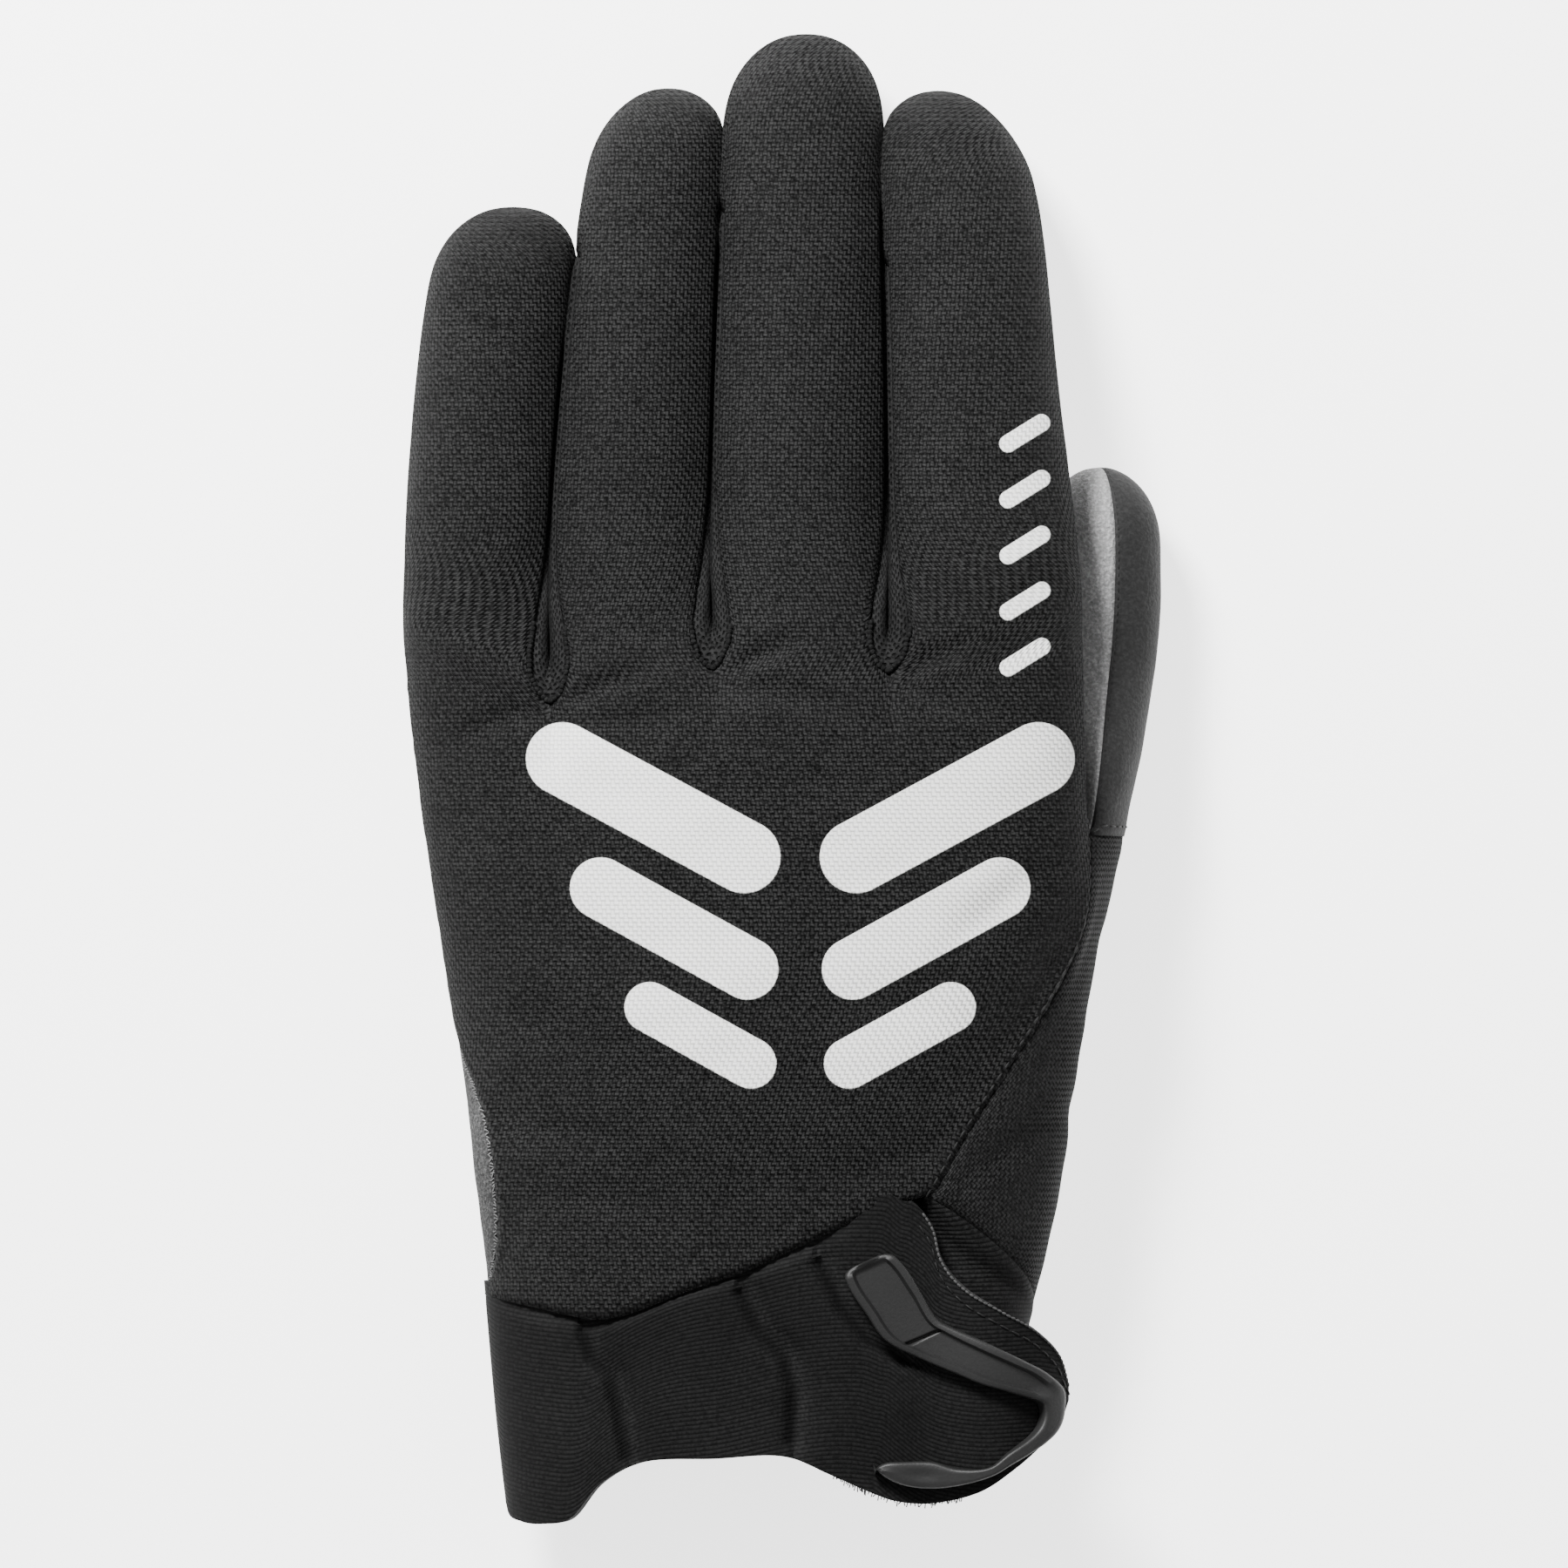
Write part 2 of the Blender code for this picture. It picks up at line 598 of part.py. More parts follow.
def side_hem_y(column):
    """The side's lower edge: the gusset's to the thumb-side edge, then the palm's."""
    edge = THUMB_EDGE_COLUMN
    if column <= edge:
        return y_of(GUSSET_HEM.at("up", column / edge))
    return mix(y_of(GUSSET_HEM.rows[-1, 1]), y_of(PALM_HEM), (column - edge) / (THUMB_OUTER_COLUMNS - edge))


def under_index(x, y):
    """The highest that the thumb may reach here, below the index finger's side."""
    limit = index_x(y) + THUMB_CLEARANCE
    if x >= limit:
        return math.inf
    left, right = finger_span(3, y, 1)
    share = 2 * (x - left) / (right - left) - 1
    weight = ridge_weight(3, min(max(share, -1), 1), y, -1)
    flat = hand_height(x, y, -1, THUMB_CLEARANCE)
    middle, half, mid, depth = finger_ring(3, y)
    grown = half + THUMB_CLEARANCE
    ridge = mid - (depth + THUMB_CLEARANCE) * arch((x - middle) / grown, RIDGE_POWER)
    return mix(flat, ridge, weight)


def thumb_point(column, y, base):
    """A point of the thumb's tube; base is this column's point at the split."""
    tip = y_of(THUMB_TIP)
    middle, half, mid, depth = thumb_section(y)
    outer = THUMB_OUTER_COLUMNS
    if column <= outer:
        angle = outer_angle(column)
    else:
        turn = 2 * math.pi + THUMB_CREASE_ANGLE
        angle = mix(turn, THUMB_SEAM_ANGLE, (column - outer) / THUMB_INNER_COLUMNS)
    x, z = oval(middle, half, mid, depth, angle)
    blend = smooth((y - SPLIT_Y) / (0.45 * (tip - SPLIT_Y)))
    x = mix(base.x + thumb_x(y) - thumb_x(SPLIT_Y), x, blend)
    z = mix(base.z, z, blend)
    ceiling = under_index(x, y)
    ramp = min((y - SPLIT_Y) / (2 * THUMB_CLEARANCE), 1.0)
    if ramp > 0 and z > ceiling:
        z = mix(z, ceiling, ramp)
    return Vector((x, y, z))


class Skin:
    """The glove's outer surface as one mesh, each face marked with its panel."""

    def __init__(self):
        self.mesh = bmesh.new()
        self.panel = self.mesh.faces.layers.int.new("panel")
        self.names = []

    def add(self, rows, names, flip=False):
        """Adds a grid of points; names is a panel's name, or a function of the row and column."""
        made = [[self.mesh.verts.new(point) for point in row] for row in rows]
        for r in range(len(rows) - 1):
            for c in range(len(rows[0]) - 1):
                corners = [made[r][c], made[r][c + 1], made[r + 1][c + 1], made[r + 1][c]]
                face = self.mesh.faces.new(corners[::-1] if flip else corners)
                name = names(r, c) if callable(names) else names
                if name not in self.names:
                    self.names.append(name)
                face[self.panel] = self.names.index(name)

    def close(self):
        bmesh.ops.remove_doubles(self.mesh, verts=self.mesh.verts, dist=0.02 * MM)
        self.mesh.normal_update()


def build_skin():
    skin = Skin()
    n_back, n_palm = BACK_COLUMNS, PALM_COLUMNS
    rows_to_tip = len(STRAIGHT_SHARES) + CAP_ROWS
    backs = [hand_rows(finger, 1, n_back) + finger_rows(finger, 1, n_back)[1:] for finger in range(4)]
    palms = [hand_rows(finger, -1, n_palm) + finger_rows(finger, -1, n_palm)[1:] for finger in range(3)]
    low = hand_rows(3, -1, n_palm)[: HAND_ROWS + 1]
    knuckles = [
        index_palm_row(lambda share: mix(SPLIT_Y, knuckle_y(3, share, -1), part), smooth(part))
        for part in spread(0.0, 1.0, KNUCKLE_ROWS)
    ]
    tips = []
    for row in range(rows_to_tip):
        y_at = finger_row_y(3, row)
        tips.append(index_palm_row(lambda share: y_at(share, -1), 1.0))
    palms.append(low[:-1] + knuckles + tips[1:])

    # Neighbouring stretches share their edges: along the seams at both sides, and between the fingers' bases.
    knuckle = HAND_ROWS + KNUCKLE_ROWS
    for row, points in enumerate(palms[0]):
        points[0] = backs[0][row][0].copy()
    for row in range(HAND_ROWS, len(palms[3])):
        palms[3][row][-1] = backs[3][row][-1].copy()
    for panels in (backs, palms):
        for left, right in zip(panels, panels[1:]):
            for row in range(knuckle + 1):
                edge = len(low[0]) - 1 if left is palms[3] else -1
                right[row][0] = left[row][edge].copy()
    low = palms[3][:HAND_ROWS] + [palms[3][HAND_ROWS][: n_palm + 1]]
    for finger in range(4):
        skin.add(backs[finger], "back_panel")
        if finger < 3:
            skin.add(palms[finger], "palm_panel", flip=True)
    skin.add(low, "palm_panel", flip=True)
    skin.add(palms[3][HAND_ROWS:], "palm_panel", flip=True)
    knuckles = palms[3][HAND_ROWS:]
    backs = [rows[knuckle:] for rows in backs]
    palms = [rows[knuckle:] for rows in palms]

    add_fourchettes(skin, backs, palms)
    add_side_and_thumb(skin, knuckles[0])
    add_cuff(skin)
    skin.close()
    return skin


def web_strip(top, low, side_x, web, finger, row):
    """The points down a finger's side, from its back panel's edge to its palm's."""
    crotch = 1 - smooth((top.y - web_bottom(web, 1)) / RIDGE_LENGTH)
    points = [top.copy()]
    for column in range(1, SIDE_COLUMNS):
        t = column / SIDE_COLUMNS
        bend = math.sin(t * math.pi / 2), 1 - math.cos(t * math.pi / 2)
        y = mix(mix(top.y, low.y, t), mix(top.y, low.y, bend[0]), crotch)
        z = mix(mix(top.z, low.z, t), mix(top.z, low.z, bend[1]), crotch)
        end = top.x if t < 0.5 else low.x
        x = mix(side_x, end, (2 * t - 1) ** 2)
        points.append(Vector((x, y, z)))
    points.append(low.copy())
    return points


def add_fourchettes(skin, backs, palms):
    rows = len(STRAIGHT_SHARES) + CAP_ROWS
    for web in range(3):
        strips = []
        for finger, edge in ((web, -1), (web + 1, 0)):
            side = []
            for row in range(rows):
                top, low = backs[finger][row][edge], palms[finger][row][edge]
                middle, half, _, _ = finger_ring(finger, top.y)
                side_x = middle + half * (1 if edge else -1)
                if row == 0:
                    side_x = top.x
                side.append(web_strip(top, low, side_x, web, finger, row))
            strips.append(side)
        name = "fourchette_" + WEB_NAMES[web]
        end = FOURCHETTE_END_ROW
        half_way = SIDE_COLUMNS // 2
        for side, flip in zip(strips, (True, False)):
            skin.add(side[: end + 1], name, flip=not flip)
            skin.add(side[end:], lambda r, c: "back_panel" if c < half_way else "palm_panel", flip=not flip)


def add_side_and_thumb(skin, inner_base):
    outer = THUMB_OUTER_COLUMNS
    rows = []
    for part in spread(0.0, 1.0, HAND_ROWS):
        rows.append([side_point(column, mix(side_hem_y(column), SPLIT_Y, part)) for column in range(outer + 1)])
    dark = THUMB_DARK_COLUMN
    skin.add(rows, lambda r, c: "side_gusset" if c < dark else "thumb_front")

    # The thumb's inner columns start under the palm panel's edge at the split, from the crease to the back's edge.
    inner = inner_base[PALM_COLUMNS:]
    under = []
    for before, point, after in zip(inner, inner[1:], inner[2:]):
        chord = after - before
        under.append(point + Vector((chord.z, 0, -chord.x)).normalized() * SEAM_GAP)
    base = rows[-1] + under + [inner[-1]]
    tip, cap = y_of(THUMB_TIP), THUMB_CAP * GLOVE_LENGTH
    heights = [mix(SPLIT_Y, tip - cap, share) for share in STRAIGHT_SHARES]
    heights += [tip - cap + cap * math.sin(math.pi / 2 * i / CAP_ROWS) for i in range(1, CAP_ROWS + 1)]
    tube = [base] + [[thumb_point(c, y, base[c]) for c in range(len(base))] for y in heights[1:]]
    for row in tube:
        row[-1] = row[-1] if row is base else row[0].copy()
    skin.add(tube, lambda r, c: "thumb_back" if c < dark else "thumb_front")


def cuff_height(x, y):
    """The cuff's outer face on the back, sunk where needed to leave room for the strap and its pad over it."""
    hand = hand_height(x, y, 1)
    return hand - max(0.0, LAYERS - (strap_height(x, y) - hand))


def add_cuff(skin):
    """The cuff, from its free edge under the strap, round the thumb side and the palm to the little-finger edge."""
    starts = []
    for point in panel_row(3, lambda share: hem_y(3, share, 1), 1, BACK_COLUMNS)[:-1]:
        starts.append((point, 1))
    for column in range(THUMB_OUTER_COLUMNS + 1):
        starts.append((side_point(column, side_hem_y(column)), 1 if column <= THUMB_EDGE_COLUMN else -1))
    for finger in (3, 2, 1, 0):
        row = panel_row(finger, lambda share: hem_y(finger, share, -1), -1, PALM_COLUMNS)
        starts += [(point, -1) for point in row[::-1][1:]]
    rows = [[] for _ in CUFF_ROW_SHARES]
    for index, (start, side) in enumerate(starts):
        along = index / (len(starts) - 1)
        end_y = y_of(CUFF_HEM.at("up", along))
        left, right = left_x(start.y), thumb_x(start.y)
        share = (start.x - (left + right) / 2) / ((right - left) / 2)
        on_section = hand_height(start.x, start.y, side)
        step = CUFF_STEP * min(max(index - BACK_COLUMNS, 0) / THUMB_EDGE_COLUMN, 1) + CUFF_ROW_SHARES[1]
        for row, part in enumerate(CUFF_ROW_SHARES):
            y = mix(start.y, end_y, part)
            left, right = left_x(y), thumb_x(y)
            x = (left + right) / 2 + share * (right - left) / 2
            z = hand_height(x, y, side) + (start.z - on_section) * (1 - smooth(part))
            if index <= BACK_COLUMNS + THUMB_EDGE_COLUMN:
                sunk = 1.0 if index < BACK_COLUMNS else smooth(part / step)
                z += (cuff_height(x, y) - hand_height(x, y, 1)) * sunk
            rows[row].append(Vector((x, y, z)))
    skin.add(rows, "cuff", flip=True)


def panel_solid(skin, name, wall):
    """One panel of the skin as a closed wall: its edge drawn in by half the seam gap, its inner face mitred."""
    number = skin.names.index(name)
    faces = [face for face in skin.mesh.faces if face[skin.panel] == number]
    following = {}
    before = {}
    for face in faces:
        for loop in face.loops:
            other = [f for f in loop.edge.link_faces if f is not face]
            if not other or other[0][skin.panel] != number:
                a, b = loop.vert, loop.link_loop_next.vert
                following[a] = b
                before[b] = a
    shell = bmesh.new()
    outer, inner = {}, {}
    for vert in {v for face in faces for v in face.verts}:
        place = vert.co.copy()
        if vert in following and vert in before:
            into = (vert.co - before[vert].co).normalized()
            out = (following[vert].co - vert.co).normalized()
            along = (into + out).normalized()
            inward = vert.normal.cross(along).normalized()
            bend = math.sqrt(max((1 + into.dot(out)) / 2, 0.25))
            crowded = len({face[skin.panel] for face in vert.link_faces}) > 3
            place += inward * (SEAM_GAP * (2.0 if crowded else 0.5) / bend)
        outer[vert] = shell.verts.new(place)
        inner[vert] = shell.verts.new(place - vert.normal * wall)
    for face in faces:
        shell.faces.new([outer[v] for v in face.verts])
        shell.faces.new([inner[v] for v in reversed(face.verts)])
    for a, b in following.items():
        shell.faces.new([outer[b], outer[a], inner[a], inner[b]])
    return shell


def finish(name, shell, collection):
    """A mesh object from a bmesh, smooth apart from its wall's edges, with its own material."""
    mesh = bpy.data.meshes.new(name)
    shell.to_mesh(mesh)
    shell.free()
    mesh.shade_smooth()
    mesh.set_sharp_from_angle(angle=math.radians(50))
    obj = bpy.data.objects.new(name, mesh)
    collection.objects.link(obj)
    material = bpy.data.materials.new(name)
    material.use_nodes = True
    colour, roughness = COLOURS[name]
    shader = material.node_tree.nodes["Principled BSDF"]
    shader.inputs["Base Color"].default_value = colour
    shader.inputs["Roughness"].default_value = roughness
    mesh.materials.append(material)
    return obj


def patch(rows):
    """An open surface from a grid of points, facing up."""
    sheet = bmesh.new()
    made = [[sheet.verts.new(point) for point in row] for row in rows]
    for r in range(len(rows) - 1):
        for c in range(len(rows[0]) - 1):
            sheet.faces.new([made[r][c], made[r][c + 1], made[r + 1][c + 1], made[r + 1][c]])
    sheet.normal_update()
    return sheet


def add_wall(obj, thickness):
    wall = obj.modifiers.new("wall", "SOLIDIFY")
    wall.thickness = thickness
    wall.offset = -1.0


def strap_height(x, y):
    """The strap's outer face: on the hand's section at the left, lifted over the cuff's flap at the right."""
    left, right = left_x(y), STRAP_REACH * GLOVE_WIDTH
    _, _, left_mid, right_mid, rise, _ = section(y)
    share = (x - (left + right) / 2) / ((right - left) / 2)
    lift = LAYERS * smooth((x / GLOVE_WIDTH - RAISE_FROM) / (RAISE_TO - RAISE_FROM))
    return mix(left_mid, right_mid, (share + 1) / 2) + rise * arch(share, HAND_POWER) + lift


def strap_rows():
    rows = []
    for part in spread(1.0, 0.0, STRAP_ROWS):
        row = []
        for t in spread(0.0, 1.0, STRAP_COLUMNS):
            along = t - 0.75 * math.sin(2 * math.pi * t) / (2 * math.pi)  # closer at both ends
            across, up = STRAP.at("top_across", along), STRAP.at("top_up", along)
            if across < STRAP_SEAM_END:
                up = BACK_HEM.at("up", across)
            top = Vector((across * GLOVE_WIDTH, y_of(up) - HEM_GAP))
            low = Vector((STRAP.at("low_across", along) * GLOVE_WIDTH, y_of(STRAP.at("low_up", along))))
            x, y = top.lerp(low, part)
            if t == 0:
                x = left_x(y)
            row.append(Vector((x, y, strap_height(x, y) + (STRAP_EDGE_RISE if t == 0 else 0.0))))
        rows.append(row)
    return rows


def pad_rows():
    rows = []
    for up in spread(PAD_LOW, PAD_HIGH, 5):
        row = []
        for across in spread(PAD_FROM, PAD_TO, 7):
            x, y = across * GLOVE_WIDTH, y_of(up)
            z = cuff_height(x, y) + 1.5 * LAYER_GAP + PAD_THICKNESS
            row.append(Vector((x, y, z)))
        rows.append(row)
    return rows


def on_strap(x, y, height):
    """A point at a height off the strap's outer face."""
    step = 0.2 * MM
    slope_x = (strap_height(x, y) - strap_height(x - step, y)) / step
    slope_y = (strap_height(x, y) - strap_height(x, y - step)) / step
    normal = Vector((-slope_x, -slope_y, 1)).normalized()
    return Vector((x, y, strap_height(x, y))) + normal * height


def pull_shell():
    """The rubber pull: a raised, bevelled bar along its bent path, a loft of bevelled sections."""
    shell = bmesh.new()
    sections = []
    for along in spread(0.0, 1.0, PULL_SECTIONS):
        outer = Vector((PULL.at("outer_across", along) * GLOVE_WIDTH, y_of(PULL.at("outer_up", along))))
        inner = Vector((PULL.at("inner_across", along) * GLOVE_WIDTH, y_of(PULL.at("inner_up", along))))
        width = (outer - inner).length
        bevel = min(PULL_BEVEL / width, 0.3)
        middle = outer.lerp(inner, 0.5)
        under, shoulder, top = PULL_GAP, PULL_GAP + PULL_THICKNESS - PULL_BEVEL, PULL_GAP + PULL_THICKNESS
        ring = [
            on_strap(*outer, under),
            on_strap(*outer, shoulder),
            on_strap(*outer.lerp(inner, bevel), top),
            on_strap(*middle, top),
            on_strap(*inner.lerp(outer, bevel), top),
            on_strap(*inner, shoulder),
            on_strap(*inner, under),
            on_strap(*middle, under),
        ]
        sections.append([shell.verts.new(point) for point in ring])
    for a, b in zip(sections, sections[1:]):
        for i in range(len(a)):
            j = (i + 1) % len(a)
            shell.faces.new([a[i], a[j], b[j], b[i]])
    shell.faces.new(sections[0][::-1])
    shell.faces.new(sections[-1])
    bmesh.ops.recalc_face_normals(shell, faces=shell.faces)
    return shell


def main():
    for obj in list(bpy.data.objects):
        bpy.data.objects.remove(obj, do_unlink=True)
    collection = bpy.data.collections.new("motocross_glove")
    bpy.context.scene.collection.children.link(collection)

    skin = build_skin()
    walls = {
        "back_panel": BACK_WALL,
        "palm_panel": PALM_WALL,
        "fourchette_little_ring": MESH_WALL,
        "fourchette_ring_middle": MESH_WALL,
        "fourchette_middle_index": MESH_WALL,
        "thumb_back": THUMB_WALL,
        "thumb_front": THUMB_WALL,
        "side_gusset": GUSSET_WALL,
        "cuff": CUFF_WALL,
    }
    made = [finish(name, panel_solid(skin, name, wall), collection) for name, wall in walls.items()]
    skin.mesh.free()
    strap = finish("closure_strap", patch(strap_rows()), collection)
    add_wall(strap, STRAP_WALL)
    pad = finish("hook_pad", patch(pad_rows()), collection)
    add_wall(pad, PAD_THICKNESS)
    made += [strap, pad, finish("rubber_pull", pull_shell(), collection)]

    # The glove rests on z = 0 by the lowest point of its panels.
    lowest = min(vert.co.z for obj in made for vert in obj.data.vertices)
    for obj in made:
        for vert in obj.data.vertices:
            vert.co.z -= lowest


main()
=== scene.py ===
"""Dresses a left-hand motocross glove, which lies palm down on a pale floor.

The glove's skin is worked out as one closed surface of cross sections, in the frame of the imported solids.
It is then cut along its seams into panels, which each get their wall, seam edges, folds, stitches and cloth.
"""

import logging
import math
from bisect import bisect_right
from dataclasses import dataclass, field
from enum import Enum
from functools import partial
from typing import Any, Callable, ClassVar, Iterable, Sequence, TypeVar

import bmesh
import bpy
import numpy as np
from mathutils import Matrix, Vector, noise
from mathutils.bvhtree import BVHTree
from mathutils.kdtree import KDTree


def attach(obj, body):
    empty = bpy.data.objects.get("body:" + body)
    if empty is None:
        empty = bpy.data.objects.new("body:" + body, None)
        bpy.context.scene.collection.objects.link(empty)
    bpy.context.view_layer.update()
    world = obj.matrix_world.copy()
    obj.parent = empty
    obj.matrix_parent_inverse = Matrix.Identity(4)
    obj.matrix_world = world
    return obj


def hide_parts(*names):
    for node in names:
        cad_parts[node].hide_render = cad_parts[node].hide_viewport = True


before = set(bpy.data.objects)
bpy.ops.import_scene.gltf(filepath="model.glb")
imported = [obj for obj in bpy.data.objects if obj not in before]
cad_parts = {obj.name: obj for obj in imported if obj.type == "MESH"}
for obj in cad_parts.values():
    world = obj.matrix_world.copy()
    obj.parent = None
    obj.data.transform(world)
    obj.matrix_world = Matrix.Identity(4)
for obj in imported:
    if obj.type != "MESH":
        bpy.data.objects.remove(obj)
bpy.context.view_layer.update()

LOG = logging.getLogger("glove")
MM = 0.001
ROOT = "root"
CLOTH_MAP = "cloth"  # the panels' UV map, in millimetres along and across the cloth
# the strap's painted shade in its grooves and painted highlight beside them
PAINTED_LIGHT_MAP = "groove_painted_shade_and_highlight"

Grid = list[list[Vector]]
Tree = bpy.types.NodeTree
Socket = bpy.types.NodeSocket
SkinPoint = bmesh.types.BMVert
Value = TypeVar("Value", float, Vector)


def clamped(value: float, low: float = 0.0, high: float = 1.0) -> float:
    """Returns a value, held between two limits."""
    return min(max(value, low), high)


def smooth(t: float) -> float:
    """Returns a smooth step from 0 to 1."""
    t = clamped(t)
    return t * t * (3 - 2 * t)


def mix(a: Value, b: Value, t: float) -> Value:
    """Returns the value or vector that lies at share t from a to b."""
    return a + (b - a) * t


def spread(first: float, last: float, count: int) -> list[float]:
    """Returns count + 1 even values from first to last."""
    return [mix(first, last, i / count) for i in range(count + 1)]


def arch(share: float, power: float) -> float:
    """Returns the height of a unit superellipse at a share of its half width."""
    return max(0.0, 1 - abs(share) ** power) ** (1 / power)


def bell(away: float) -> float:
    """Returns the height of a bell curve at a distance from its middle."""
    return math.exp(-(away**2))


def sin_part(part: float) -> float:
    """Returns a share of a quarter turn as a share of its sine."""
    return math.sin(part * math.pi / 2)


class Table:
    """Rows of shares under named columns, read smoothly between the rows by the first column."""

    def __init__(self, names: str, *rows: tuple[float, ...]) -> None:
        """Keeps the columns and works out their slopes.

        Args:
            names: the columns' names, with spaces between them.
            rows: the shares, in order of the first column.
        """
        grid = np.array(rows, float)
        self.keys = grid[:, 0].tolist()
        self.columns = {}
        for name, values in zip(names.split()[1:], grid[:, 1:].T):
            self.columns[name] = (values.tolist(), np.gradient(values, grid[:, 0]).tolist())

    def at(self, name: str, key: float) -> float:
        """Works out a column's share at a key, held at the table's ends.

        Args:
            name: the column's name.
            key: the first column's value.

        Returns:
            The share.
        """
        keys = self.keys
        key = clamped(key, keys[0], keys[-1])
        i = min(bisect_right(keys, key) - 1, len(keys) - 2)
        step = keys[i + 1] - keys[i]
        t = (key - keys[i]) / step
        values, slopes = self.columns[name]
        return (
            (2 * t**3 - 3 * t**2 + 1) * values[i]
            + (t**3 - 2 * t**2 + t) * step * slopes[i]
            + (3 * t**2 - 2 * t**3) * values[i + 1]
            + (t**3 - t**2) * step * slopes[i + 1]
        )


class Panel(Enum):
    """The sewn panels that make up the glove's skin. Each value is its CAD node's name."""

    BACK = "back_panel"
    PALM = "palm_panel"
    LITTLE_RING = "fourchette_little_ring"
    RING_MIDDLE = "fourchette_ring_middle"
    MIDDLE_INDEX = "fourchette_middle_index"
    THUMB_BACK = "thumb_back"
    THUMB_FRONT = "thumb_front"
    GUSSET = "side_gusset"
    CUFF = "cuff"


FOURCHETTES = (Panel.LITTLE_RING, Panel.RING_MIDDLE, Panel.MIDDLE_INDEX)
PANELS = tuple(Panel)


@dataclass(frozen=True)
class Finger:
    """A finger's tip and cap as shares of the length, its lean as a share of the width, and its droop."""

    tip: float
    cap: float
    lean: float
    droop: float


